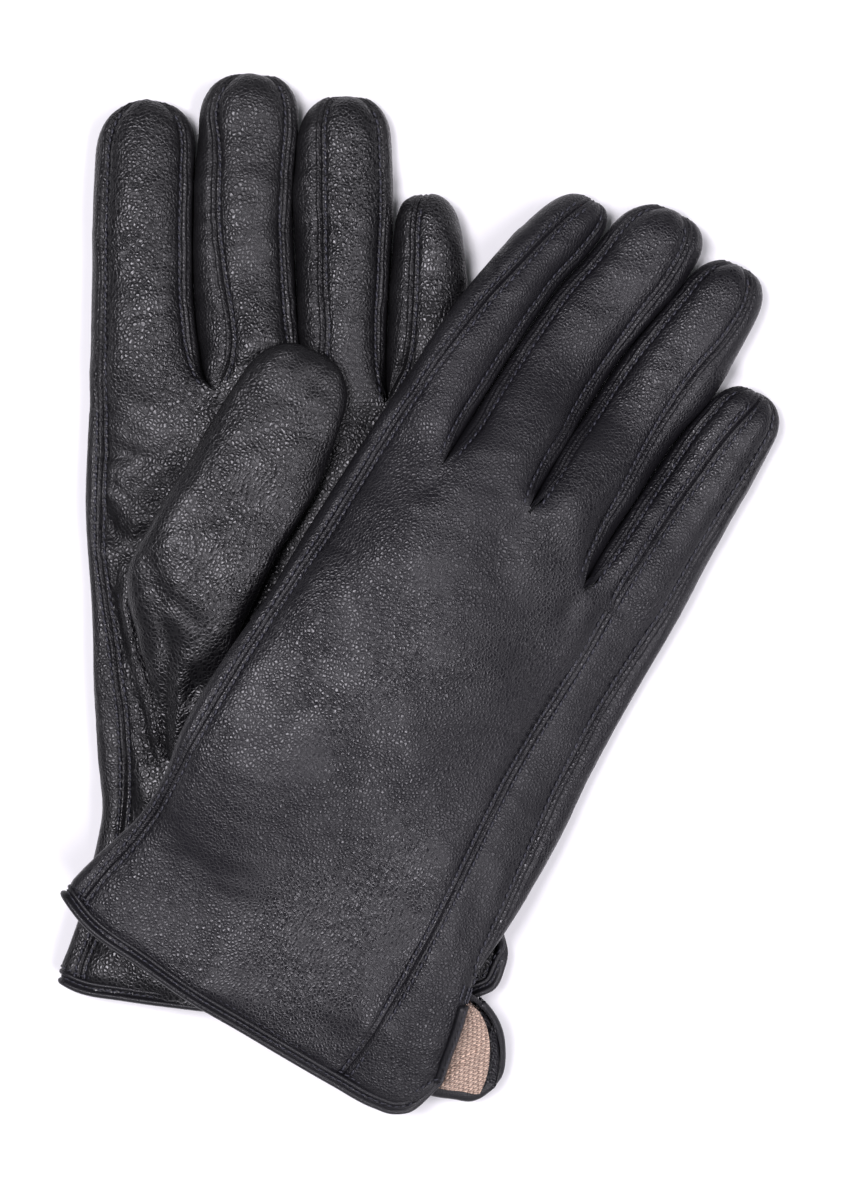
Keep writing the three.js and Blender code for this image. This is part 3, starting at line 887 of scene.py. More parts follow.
def seam_on_finger(left: Curve, right: Curve, line: Curve, roots: tuple[float, float],
                   gap: tuple[bool, bool], upper: bool) -> Curve:
    """Angle of a seam that follows a line v(u) along a finger.

    Args:
        left: the finger's index side.
        right: its little side.
        line: the seam's place.
        roots: heights of the finger's root at its two sides.
        gap: whether a finger stands beside it on the left, and on the right.
        upper: True on the back of the hand, False on the palm.

    Returns:
        The angle at each height. At the root the walls stand upright, so a place there is a smaller
        share of the section than it is further along.
    """
    def angle(u: Array) -> Array:
        """The seam's angle at each height."""
        x = np.clip((2 * line(u) - left(u) - right(u)) / (right(u) - left(u)), -1.0, 1.0)
        root = lerp(roots[0], roots[1], (x + 1) / 2)
        walled = np.where(x > 0, gap[1], gap[0])
        edge = boxed(np.array(math.cos(math.radians(EDGE_ANGLE))))
        free = x * np.where(walled, lerp(edge, 1.0, ease(u, root, root + ROOT_BLEND)), 1.0)
        turn = np.degrees(np.arccos(np.sign(free) * np.abs(free) ** (SECTION_POWER / 2)))
        low = np.where(walled & (x > 0), EDGE_ANGLE, 0.0)
        high = np.where(walled & (x < 0), 180 - EDGE_ANGLE, 180.0)
        turn = np.clip(turn, low, high)
        return turn if upper else 360 - turn

    return angle


def plus_turn(line: Curve) -> Curve:
    """The same seam one turn further round."""
    return lambda u: line(u) + 360.0


def hand_seam(glove_left: Line, glove_right: Line, line: Line, upper: bool) -> Curve:
    """Angle of a seam that follows a line along the hand."""
    def angle(u: Array) -> Array:
        """The seam's angle at each height."""
        turn = angle_on_back(line(u), glove_left(u), glove_right(u))
        return turn if upper else 360 - turn

    return angle


INDEX_STRIPS = ("back", "side_strip", "palm", "fourchette")
MIDDLE_STRIPS = ("back", "index_side_fourchette", "palm", "ring_side_fourchette")
RING_STRIPS = ("back", "middle_side_fourchette", "palm", "little_side_fourchette")
LITTLE_STRIPS = ("side_strip", "back", "fourchette", "palm")
BACK_EDGES = (fixed(EDGE_ANGLE), fixed(180 - EDGE_ANGLE))
PALM_EDGES = (fixed(180 + EDGE_ANGLE), fixed(360 - EDGE_ANGLE))
LEFT_LITTLE_SIDE = Line(((0, 54.7), (42, 49.8), (105, 52.7), (161, 57.1), (189, 57.6), (203, 56.6),
                         (212, 55.5)))
THUMB_ROOT = (-34.7, 68.2)
THUMB_RUN = (39.9, 75.1)
RIGHT_HEM = -3.0
RIGHT_REST = 0.6
OVER_LEFT_GLOVE = 13.5
OVER_RIGHT_THUMB = 9.6


def right_glove(frame: dict, under: Glove) -> Glove:
    """The right glove, back up, lying over the left one."""
    left = Line(((0, -58.6), (14, -54.8), (22, -52.1), (30, -49.6), (41, -48.3), (59, -50.0),
                 (80, -49.1), (100, -47.0), (120, -46.2), (156, -43.6), (180, -41.2), (198, -39.4),
                 (210, -37.0), (219, -34.6), (228, -31.6), (237, -28.8)))
    right = Line(((0, 57.3), (4.8, 56.8), (13.2, 55.3), (22.6, 53.8), (28.8, 52.3), (37.6, 51.0),
                  (49.4, 51.9), (63, 52.8), (79, 53.2), (98, 52.3), (115, 52.4), (147.5, 53.1),
                  (176, 53.0), (189.5, 53.4), (202, 53.2), (212, 52.6)))
    gaps = (
        Line(((151.3, -22.7), (165, -21.9), (178, -21.2), (202, -19.3), (211, -18.1),
              (221, -15.6), (231, -13.9))),
        Line(((153, 3.1), (168, 3.6), (184.5, 4.6), (200.6, 5.9), (214, 8.4), (225.6, 10.8),
              (235, 12.0))),
        Line(((139.8, 25.9), (152, 26.3), (166, 27.5), (180, 28.8), (193, 30.5), (202, 32.6),
              (208, 33.4), (220, 33.4))),
    )
    index_seam = Line(((-6, -52.8), (1.5, -52.2), (13.3, -50.3), (21.6, -48.2), (31.5, -46.6),
                       (61, -45.8), (83, -44.9), (103, -43.3), (122, -41.6), (149, -39.9),
                       (165, -38.6), (181, -36.4), (197.5, -33.6), (210, -30.4), (224, -26.7),
                       (234, -23.4)))
    little_seam = Line(((-8, 31.7), (1, 33.1), (17, 34.4), (34, 34.8), (61.6, 34.3), (85, 33.5),
                        (102, 34.2), (120, 35.4), (138, 36.0), (151, 36.2), (165, 37.3),
                        (181, 38.9), (197.6, 41.3), (210, 44.5)))
    outer_seam = Line(((18, 58), (29, 53.4), (38, 50.7), (49, 49.8), (71, 48.4), (89, 47.0),
                       (108, 46.8), (124, 47.6), (144, 49.2), (168, 49.9), (185, 51.1), (196, 51.9),
                       (212, 51.5)))
    middle_edge = Line(((153, 3.0), (160, 1.9), (175, 1.9), (188, 2.3), (201, 3.6), (215, 5.3),
                        (226, 6.8), (238, 7.4), (245, 7.0)))
    ring_edge = Line(((139.8, 25.8), (150, 24.3), (162, 23.8), (179, 23.8), (194, 24.3),
                      (208, 25.8), (219, 28.3), (231, 29.3), (240, 28.0)))
    index_sides = (left, gap_line(gaps[0], 151.3, -1))
    middle_sides = (gap_line(gaps[0], 151.3, 1), gap_line(gaps[1], 153, -1))
    ring_sides = (gap_line(gaps[1], 153, 1), gap_line(gaps[2], 139.8, -1))
    little_sides = (gap_line(gaps[2], 139.8, 1), right)
    index_turn = seam_on_finger(*index_sides, index_seam, (149, 151.3), (False, True), True)
    middle_turn = seam_on_finger(*middle_sides, middle_edge, (151.3, 153), (True, True), True)
    ring_turn = seam_on_finger(*ring_sides, ring_edge, (153, 139.8), (True, True), True)
    little_turn = seam_on_finger(*little_sides, little_seam, (139.8, 138), (True, False), True)
    outer_turn = seam_on_finger(*little_sides, outer_seam, (139.8, 138), (True, False), True)
    fingers = [
        Finger("index", *index_sides, (149, 151.3), 152.0, 236.5, 10, False, True, INDEX_STRIPS,
               (BACK_EDGES[0], index_turn, fixed(210), PALM_EDGES[1], fixed(395)), 0.08),
        Finger("middle", *middle_sides, (151.3, 153), 153.5, 244.6, 13, True, True, MIDDLE_STRIPS,
               (middle_turn, BACK_EDGES[1], *PALM_EDGES, plus_turn(middle_turn)), 0.08),
        Finger("ring", *ring_sides, (153, 139.8), 153.5, 240.0, 12, True, True, RING_STRIPS,
               (ring_turn, BACK_EDGES[1], *PALM_EDGES, plus_turn(ring_turn)), 0.08),
        Finger("little", *little_sides, (139.8, 138), 140.5, 211.8, 10, True, False, LITTLE_STRIPS,
               (outer_turn, little_turn, BACK_EDGES[1], PALM_EDGES[0], plus_turn(outer_turn)), 0.08),
    ]
    joint = next(j for j in frame["joints"] if j["name"] == "right_index_bend")
    lay = Lay.of_joint(joint, -34.15, 149)
    glove = Glove(
        "right", lay, True, left, right,
        Line(((-58.6, 2.2), (-48.2, -2.0), (-30.6, -4.2), (-14.2, -6.1), (1.5, -6.8), (17.5, -7.8),
              (31.2, -8.6), (43.9, -9.0), (50.4, -7.6), (54.6, -3.0), (56.6, 4.2))),
        Line(((-58.6, 2.2), (-48, -0.5), (-20, -3.0), (10, -4.5), (40, -5.0), (50, -4.2),
              (55, -1.0), (57, 5.5))),
        (14.5, 8.5), fingers,
        {"index": hand_seam(left, right, index_seam, True),
         "little": hand_seam(left, right, little_seam, True),
         "outer": hand_seam(left, right, outer_seam, True)},
        creases=(
            Crease(((2, 138), (14, 131), (24, 133)), 0.35, 7.0),
            Crease(((-20, 147), (-10, 141), (2, 143)), 0.35, 4.5),
            Crease(((22, 88), (16, 66), (20, 46)), 0.5, 11.0),
            Crease(((-30, 60), (-12, 44), (2, 22)), -0.4, 11.0),
            Crease(((-46, 36), (-38, 28), (-34, 16)), 0.4, 4.0),
            Crease(((40, 60), (44, 44), (45, 30)), 0.45, 3.6),
            Crease(((38, 40), (42, 30), (47, 26)), 0.4, 2.4),
            Crease(((-22.7, 149.5), (-22.7, 145)), 0.5, 2.6),
            Crease(((3.1, 151), (3.0, 146.5)), 0.5, 2.6),
            Crease(((25.9, 138), (25.6, 133)), 0.5, 2.6),
        ),
        ripples=(Ripple(11, 12, 45, 0.32), Ripple(12, 3.4, 8, 0.045, 30, 0.35)),
    )

    def rest(v: Array, u: Array) -> Array:
        """Height at which the right glove lies.

        It lies over the left glove, comes down past that glove's little side and past its hem, and
        rises over its own thumb, by the distance from the thumb's middle line.
        """
        place = lay.place(np.stack([v, u, np.zeros(np.shape(v))], -1)) / METRES
        lv, lu = under.lay.locate(place[..., 0], place[..., 1])
        past = lv - LEFT_LITTLE_SIDE(lu)
        down = (1 - ease(past, -14, 46)) * (1 - ease(RIGHT_HEM - lu, -4, 52))
        dv, du = THUMB_RUN
        from_v, from_u = v - THUMB_ROOT[0], u - THUMB_ROOT[1]
        t = np.clip((from_v * dv + from_u * du) / (dv * dv + du * du), 0, 1)
        away = np.hypot(from_v - t * dv, from_u - t * du)
        return RIGHT_REST + OVER_LEFT_GLOVE * down + OVER_RIGHT_THUMB * (1 - ease(away, 8, 54))

    glove.lift = rest
    return glove


def left_glove(frame: dict) -> Glove:
    """The left glove, palm up, lying flat under the right one."""
    left = Line(((-3, -61.4), (4.9, -60.5), (11, -57.9), (24, -52.8), (38.6, -48.8), (47.6, -46.8),
                 (63, -47.4), (80, -47.4), (105, -47.2), (122, -47.7), (132, -47.6), (160, -45.4),
                 (194, -43.3), (215, -42.0), (228, -41.0), (240, -40.2)))
    right = Line(((0, 55.5), (11, 53.5), (30, 50.5), (42, 49.8), (75, 51.0), (105, 52.7),
                  (140, 56.0), (161, 57.4), (186, 58.4), (196, 58.0), (204.5, 57.4), (212, 57.0)))
    gaps = (
        Line(((161, -11.0), (164, -13.0), (174, -15.0), (186, -15.9), (199.5, -15.6),
              (213, -14.9), (221, -14.3), (233, -12.9), (245, -12.0))),
        Line(((160, 14.5), (170, 12.7), (178, 12.2), (191, 12.1), (205, 12.0), (215, 12.3),
              (223, 13.4), (231, 14.4), (240, 15.2))),
        Line(((156, 35.3), (170, 35.9), (184, 37.1), (196, 38.4), (204, 39.2), (217, 39.8),
              (230, 39.8))),
    )
    index_seam = Line(((-4, -56.5), (7, -54.3), (18, -49.5), (30, -44.6), (50, -40.8), (71, -40.2),
                       (91, -41.8), (105, -43.4), (118, -44.6), (138, -43.6), (160, -42.2),
                       (194, -40.6), (230, -38.2), (240, -37.4)))
    middle_edge = Line(((160.6, -11.1), (164, -9.4), (168, -7.4), (173, -6.4), (182, -6.6),
                        (192, -8.0), (206, -9.0), (226, -8.2), (238.5, -8.8), (247, -7.5)))
    ring_edge = Line(((159, 14.6), (163, 16.4), (171, 18.7), (191, 19.2), (211, 19.8), (228, 20.4),
                      (240, 20.4)))
    little_edge = Line(((155.9, 35.5), (160, 37.5), (166, 40.5), (177, 42.6), (190, 43.9),
                        (202, 44.6), (212, 45.5)))
    index_sides = (left, gap_line(gaps[0], 161, -1))
    middle_sides = (gap_line(gaps[0], 161, 1), gap_line(gaps[1], 160, -1))
    ring_sides = (gap_line(gaps[1], 160, 1), gap_line(gaps[2], 156, -1))
    little_sides = (gap_line(gaps[2], 156, 1), right)
    index_turn = seam_on_finger(*index_sides, index_seam, (157, 161), (False, True), False)
    middle_turn = seam_on_finger(*middle_sides, middle_edge, (161, 160), (True, True), False)
    ring_turn = seam_on_finger(*ring_sides, ring_edge, (160, 156), (True, True), False)
    little_turn = seam_on_finger(*little_sides, little_edge, (156, 155), (True, False), False)
    fingers = [
        Finger("index", *index_sides, (157, 161), 161.5, 241.4, 16, False, True, INDEX_STRIPS,
               (BACK_EDGES[0], fixed(150), index_turn, PALM_EDGES[1], fixed(395)), 0.08),
        Finger("middle", *middle_sides, (161, 160), 174.5, 248.0, 14, True, True, MIDDLE_STRIPS,
               (*BACK_EDGES, middle_turn, PALM_EDGES[1], fixed(395)), 0.08),
        Finger("ring", *ring_sides, (160, 156), 174.5, 240.8, 13, True, True, RING_STRIPS,
               (*BACK_EDGES, ring_turn, PALM_EDGES[1], fixed(395)), 0.08),
        Finger("little", *little_sides, (156, 155), 189.5, 212.8, 12, True, False, LITTLE_STRIPS,
               (fixed(30), fixed(90), BACK_EDGES[1], little_turn, fixed(390)), 0.08),
    ]
    joint = next(j for j in frame["joints"] if j["name"] == "left_index_bend")
    return Glove(
        "left", Lay.of_joint(joint, -30.2, 157), False, left, right,
        Line(((-61, 2.0), (-57, 0.0), (-43.2, -3.1), (-29.4, -5.5), (-19.5, -7.0), (0, -7.6),
              (25, -8.2), (42, -9.0), (49, -8.4), (53.5, -5.0), (56.0, 3.5))),
        Line(((-61, 2.0), (-43, -2.5), (0, -6.0), (30, -6.2), (47, -6.0), (52, -2.0), (55.5, 5.5))),
        (6.5, 3.0), fingers,
        {"index": hand_seam(left, right, index_seam, False)},
        creases=(
            Crease(((-41, 126), (-36, 120), (-31, 122)), 2.6, 4.2),
            Crease(((-30.2, 64), (-32.3, 74), (-34.5, 85.3), (-36.8, 96.7), (-38.9, 107)), -0.7, 1.5),
            Crease(((-28, 62.7), (-30.3, 72.9), (-32.3, 84.2), (-34.6, 95.6), (-36.7, 106)), 0.9, 0.9),
            Crease(((-33, 62), (-35, 74), (-37.2, 86), (-39.6, 98), (-41.8, 108)), 0.6, 1.0),
            Crease(((-43, 146), (-32, 144), (-21, 147)), 0.75, 2.4),
            Crease(((-34, 139), (-24.5, 138), (-21, 142)), 0.5, 1.8),
            Crease(((-40, 137), (-33, 130), (-28, 131)), 0.9, 2.0),
            Crease(((-42, 132), (-40, 112), (-40, 92)), 0.7, 1.7),
            Crease(((-38.5, 112), (-38, 98), (-36, 84)), -0.5, 1.4),
            Crease(((-43, 100), (-44.5, 86), (-43.5, 70)), 0.5, 1.8),
            Crease(((-36, 78), (-33, 66), (-31, 52)), 0.7, 2.2),
            Crease(((-41, 62), (-38, 48), (-40, 34)), 0.6, 2.6),
            Crease(((-50, 22), (-42, 26), (-34, 24)), 0.7, 2.4),
            Crease(((-50, 12), (-40, 16), (-28, 12)), 0.8, 2.8),
            Crease(((-36, 6), (-22, 8), (-8, 2)), -0.7, 3.4),
            Crease(((-9, 155), (-10, 148), (-14, 142)), 0.7, 2.6),
            Crease(((-30, 158), (-20, 155), (-12, 157)), 0.5, 2.6),
            Crease(((26, 152), (34, 150), (44, 152)), 0.5, 2.4),
            Crease(((-38, 176), (-30, 174), (-20, 176)), 0.35, 2.6),
            Crease(((-36, 204), (-28, 202), (-20, 204)), 0.35, 2.8),
        ),
        ripples=(Ripple(21, 12, 40, 0.35), Ripple(22, 3.0, 9, 0.09, 34, 0.6)),
    )


# --------------------------------------------------------------------------------------- finishes


def socket(group: bpy.types.NodeTree, name: str, way: str, kind: str, value: object = None) -> None:
    """Adds a named socket to a node group, with a default value where one is given."""
    made = group.interface.new_socket(name=name, in_out=way, socket_type=kind)
    if value is not None:
        made.default_value = value


class Nodes:
    """Adds nodes to a tree and links them in one call."""

    def __init__(self, tree: bpy.types.NodeTree) -> None:
        """Works on a node tree."""
        self.tree = tree

    def add(self, kind: str, settings: dict | None = None, **inputs: object) -> bpy.types.Node:
        """A node of a kind. settings are its own properties, and inputs are values or sockets, with
        an underscore for a space and a trailing number for an input's place."""
        node = self.tree.nodes.new(kind)
        for key, value in (settings or {}).items():
            setattr(node, key, value)
        for key, value in inputs.items():
            place = key.rsplit("_", 1)[-1]
            target = node.inputs[int(place)] if place.isdigit() else node.inputs[key.replace("_", " ")]
            if isinstance(value, bpy.types.NodeSocket):
                self.tree.links.new(value, target)
            else:
                target.default_value = value
        return node

    def math(self, operation: str, *values: object) -> bpy.types.NodeSocket:
        """The output of a Math node."""
        inputs = {f"in_{n}": value for n, value in enumerate(values)}
        return self.add("ShaderNodeMath", {"operation": operation}, **inputs).outputs[0]

    def range(self, value: object, low: float, high: float, to_low: float = 0.0,
              to_high: float = 1.0) -> bpy.types.NodeSocket:
        """A value carried smoothly from one range to another."""
        return self.add("ShaderNodeMapRange", {"interpolation_type": "SMOOTHSTEP"}, in_0=value,
                        in_1=low, in_2=high, in_3=to_low, in_4=to_high).outputs[0]


def empty_material(name: str) -> tuple[bpy.types.Material, Nodes]:
    """A new material with no nodes, and the means to add them."""
    material = bpy.data.materials.new(name)
    material.use_nodes = True
    material.node_tree.nodes.clear()
    return material, Nodes(material.node_tree)


def grain_group() -> bpy.types.NodeTree:
    """The skin of leather: pebbles between fine creases with painted shade, pores, and drift in tone and
    gloss.
    """
    group = bpy.data.node_groups.new("leather_skin", "ShaderNodeTree")
    socket(group, "Pebbles per metre", "INPUT", "NodeSocketFloat", 1500.0)
    socket(group, "Crease depth", "INPUT", "NodeSocketFloat", 1.0)
    socket(group, "Gloss", "INPUT", "NodeSocketFloat", 0.45)
    socket(group, "Tone", "INPUT", "NodeSocketColor", (0.015, 0.014, 0.017, 1))
    # The lighter tone of the pebble tops; the creases keep the darker tone, as painted shade.
    socket(group, "Lit pebble tone", "INPUT", "NodeSocketColor", (0.03, 0.028, 0.034, 1))
    socket(group, "Colour", "OUTPUT", "NodeSocketColor")
    socket(group, "Roughness", "OUTPUT", "NodeSocketFloat")
    socket(group, "Height", "OUTPUT", "NodeSocketFloat")
    n = Nodes(group)
    given = n.add("NodeGroupInput").outputs
    place = n.add("ShaderNodeTexCoord").outputs["Object"]
    warp = n.add("ShaderNodeTexNoise", Vector=place, Scale=620.0, Detail=2.0)
    offset = n.add("ShaderNodeVectorMath", {"operation": "SCALE"}, in_0=warp.outputs["Color"],
                   Scale=0.00055).outputs[0]
    moved = n.add("ShaderNodeVectorMath", {"operation": "ADD"}, in_0=place, in_1=offset).outputs[0]
    cells = n.add("ShaderNodeTexVoronoi", {"feature": "DISTANCE_TO_EDGE"}, Vector=moved,
                  Scale=given["Pebbles per metre"]).outputs["Distance"]
    away = n.math("MAXIMUM", n.math("SUBTRACT", 1.0, n.math("MULTIPLY", cells, 2.1)), 0.0)
    pebble = n.math("SUBTRACT", 1.0, n.math("MULTIPLY", away, away))
    broad = n.add("ShaderNodeTexNoise", Vector=place, Scale=60.0, Detail=3.0).outputs[0]
    drift = n.add("ShaderNodeTexNoise", Vector=place, Scale=22.0, Detail=2.0).outputs[0]
    fine = n.add("ShaderNodeTexNoise", Vector=place, Scale=4200.0, Detail=3.0).outputs[0]
    strength = n.math("MULTIPLY", given["Crease depth"], n.range(broad, 0.3, 0.7, 0.55, 1.25))
    height = n.math("ADD", n.math("MULTIPLY", pebble, strength), n.math("MULTIPLY", fine, 0.02))
    # Colour: pebble tops take the lighter tone and the creases the darker one, which is painted shade in
    # the creases, varied at random by the drift.
    paler = n.math("MULTIPLY", pebble, n.range(drift, 0.35, 0.7, 0.15, 0.8))
    colour = n.add("ShaderNodeMix", {"data_type": "RGBA"}, in_0=paler, in_6=given["Tone"],
                   in_7=given["Lit pebble tone"]).outputs[2]
    crease = n.math("MULTIPLY", n.math("SUBTRACT", 1.0, pebble), 0.3)
    rough = n.math("ADD", n.math("ADD", given["Gloss"], crease), n.range(drift, 0.3, 0.7, -0.05, 0.05))
    n.add("NodeGroupOutput", Colour=colour, Roughness=rough, Height=height)
    return group


@dataclass(frozen=True)
class LeatherFinish:
    """One leather of the gloves: its tone, gloss and grain."""

    name: str
    tone: tuple[float, float, float]
    # The lighter tone of the pebble tops, against which the creases are painted darker as painted shade.
    paler: tuple[float, float, float]
    gloss: float
    pebbles: float
    depth: float

    def make(self, group: bpy.types.NodeTree) -> bpy.types.Material:
        """The material: the leather group into a Principled shader, its height through a bump."""
        material, n = empty_material(self.name)
        skin = n.add("ShaderNodeGroup", {"node_tree": group})
        skin.inputs["Pebbles per metre"].default_value = self.pebbles
        skin.inputs["Crease depth"].default_value = self.depth
        skin.inputs["Gloss"].default_value = self.gloss
        skin.inputs["Tone"].default_value = (*self.tone, 1)
        skin.inputs["Lit pebble tone"].default_value = (*self.paler, 1)
        bump = n.add("ShaderNodeBump", Strength=1.0, Distance=0.00013, Height=skin.outputs["Height"])
        shader = n.add("ShaderNodeBsdfPrincipled", Base_Color=skin.outputs["Colour"],
                       Roughness=skin.outputs["Roughness"], Normal=bump.outputs[0])
        shader.inputs["Specular IOR Level"].default_value = 0.42
        n.add("ShaderNodeOutputMaterial", Surface=shader.outputs[0])
        return material


@dataclass(frozen=True)
class ThreadFinish:
    """Waxed thread: twisted plies that catch a little light."""

    name: str
    tone: tuple[float, float, float]
    paler: tuple[float, float, float]

    def make(self) -> bpy.types.Material:
        """The material: a fine wave for the twist, in colour and in height."""
        material, n = empty_material(self.name)
        place = n.add("ShaderNodeTexCoord").outputs["Object"]
        twist = n.add("ShaderNodeTexNoise", Vector=place, Scale=2600.0, Detail=2.0).outputs[0]
        colour = n.add("ShaderNodeMix", {"data_type": "RGBA"}, in_0=n.range(twist, 0.35, 0.65),
                       in_6=(*self.tone, 1), in_7=(*self.paler, 1)).outputs[2]
        bump = n.add("ShaderNodeBump", Strength=0.6, Distance=0.0001, Height=twist)
        shader = n.add("ShaderNodeBsdfPrincipled", Base_Color=colour, Normal=bump.outputs[0],
                       Roughness=n.range(twist, 0.3, 0.7, 0.42, 0.6))
        n.add("ShaderNodeOutputMaterial", Surface=shader.outputs[0])
        return material


@dataclass(frozen=True)
class KnitFinish:
    """The knitted lining: columns of V-shaped loops with a little fuzz and flecks."""

    name: str
    tone: tuple[float, float, float]
    # The colour painted into the hollows between the loops, as painted shade.
    shade: tuple[float, float, float]
    column: float = 1.5
    loop: float = 1.15

    def make(self) -> bpy.types.Material:
        """The material. Across a column the loops slant like a V, so their height is a wave of the
        run along the column plus the distance from its middle."""
        material, n = empty_material(self.name)
        cloth = n.add("ShaderNodeUVMap", {"uv_map": "cloth"}).outputs[0]
        split = n.add("ShaderNodeSeparateXYZ", Vector=cloth)
        place = n.add("ShaderNodeTexCoord").outputs["Object"]
        fuzz = n.add("ShaderNodeTexNoise", Vector=place, Scale=1500.0, Detail=3.0).outputs[0]
        wobble = n.math("MULTIPLY", n.math("SUBTRACT", fuzz, 0.5), 0.5)
        column = n.math("ADD", n.math("DIVIDE", split.outputs[0], self.column), wobble)
        half = n.math("ABSOLUTE", n.math("SUBTRACT", n.math("FRACT", column), 0.5))
        run = n.math("ADD", n.math("DIVIDE", split.outputs[1], self.loop), n.math("MULTIPLY", half, 1.6))
        loop = n.math("ABSOLUTE", n.math("SINE", n.math("MULTIPLY", run, math.pi)))
        valley = n.range(half, 0.36, 0.5, 1.0, 0.1)
        height = n.math("MULTIPLY", n.math("MULTIPLY", loop, valley), n.range(half, 0.0, 0.1, 0.5, 1.0))
        flecks = n.add("ShaderNodeTexNoise", Vector=place, Scale=900.0, Detail=1.0).outputs[0]
        # The hollows between loops take the dark colour, which is painted shade; random flecks break it up.
        mix = n.math("MULTIPLY", n.range(height, 0.05, 0.8), n.range(flecks, 0.36, 0.5, 0.55, 1.0))
        colour = n.add("ShaderNodeMix", {"data_type": "RGBA"}, in_0=mix, in_6=(*self.shade, 1),
                       in_7=(*self.tone, 1)).outputs[2]
        bump = n.add("ShaderNodeBump", Strength=0.9, Distance=0.0006,
                     Height=n.math("ADD", height, n.math("MULTIPLY", fuzz, 0.3)))
        shader = n.add("ShaderNodeBsdfPrincipled", Base_Color=colour, Normal=bump.outputs[0],
                       Roughness=n.range(fuzz, 0.3, 0.7, 0.85, 1.0))
        shader.inputs["Sheen Weight"].default_value = 0.25
        n.add("ShaderNodeOutputMaterial", Surface=shader.outputs[0])
        return material


class Wardrobe:
    """All finishes of the gloves, by slot and by glove."""

    def __init__(self) -> None:
        """Makes each material once."""
        skin = grain_group()
        # Each leather has a dark tone for its creases, which is painted shade, and a lighter one for its
        # pebble tops.
        self.leather = {
            ("right", Slot.GRAIN): LeatherFinish(
                "smooth_grain_leather", (0.0036, 0.0032, 0.0048),
                (0.0105, 0.0095, 0.0125), 0.26, 1060, 0.85).make(skin),
            ("left", Slot.GRAIN): LeatherFinish(
                "pebbled_palm_leather", (0.0032, 0.0030, 0.0038),
                (0.0095, 0.0088, 0.0100), 0.23, 930, 0.95).make(skin),
            ("right", Slot.SIDE): LeatherFinish(
                "smooth_side_leather", (0.0036, 0.0032, 0.0048),
                (0.0095, 0.0088, 0.0115), 0.28, 1080, 0.80).make(skin),
            ("left", Slot.SIDE): LeatherFinish(
                "pebbled_side_leather", (0.0045, 0.0042, 0.0050),
                (0.0085, 0.0080, 0.0092), 0.25, 980, 0.9).make(skin),
        }
        edge = LeatherFinish("binding_leather", (0.0045, 0.0042, 0.0058),
                             (0.0085, 0.0080, 0.0105), 0.28, 1500, 0.4).make(skin)
        thread = ThreadFinish("navy_black_thread", (0.007, 0.007, 0.011),
                              (0.028, 0.028, 0.042)).make()
        knit = KnitFinish("tan_knit", (0.78, 0.56, 0.43), (0.20, 0.12, 0.085)).make()
        for side in ("left", "right"):
            self.leather[side, Slot.BINDING] = edge
            self.leather[side, Slot.THREAD] = thread
            self.leather[side, Slot.KNIT] = knit

    def dress(self, obj: bpy.types.Object, side: str, slot: Slot) -> None:
        """Gives a piece its material."""
        obj.data.materials.clear()
        obj.data.materials.append(self.leather[side, slot])


# ------------------------------------------------------------------------------- assembling gloves


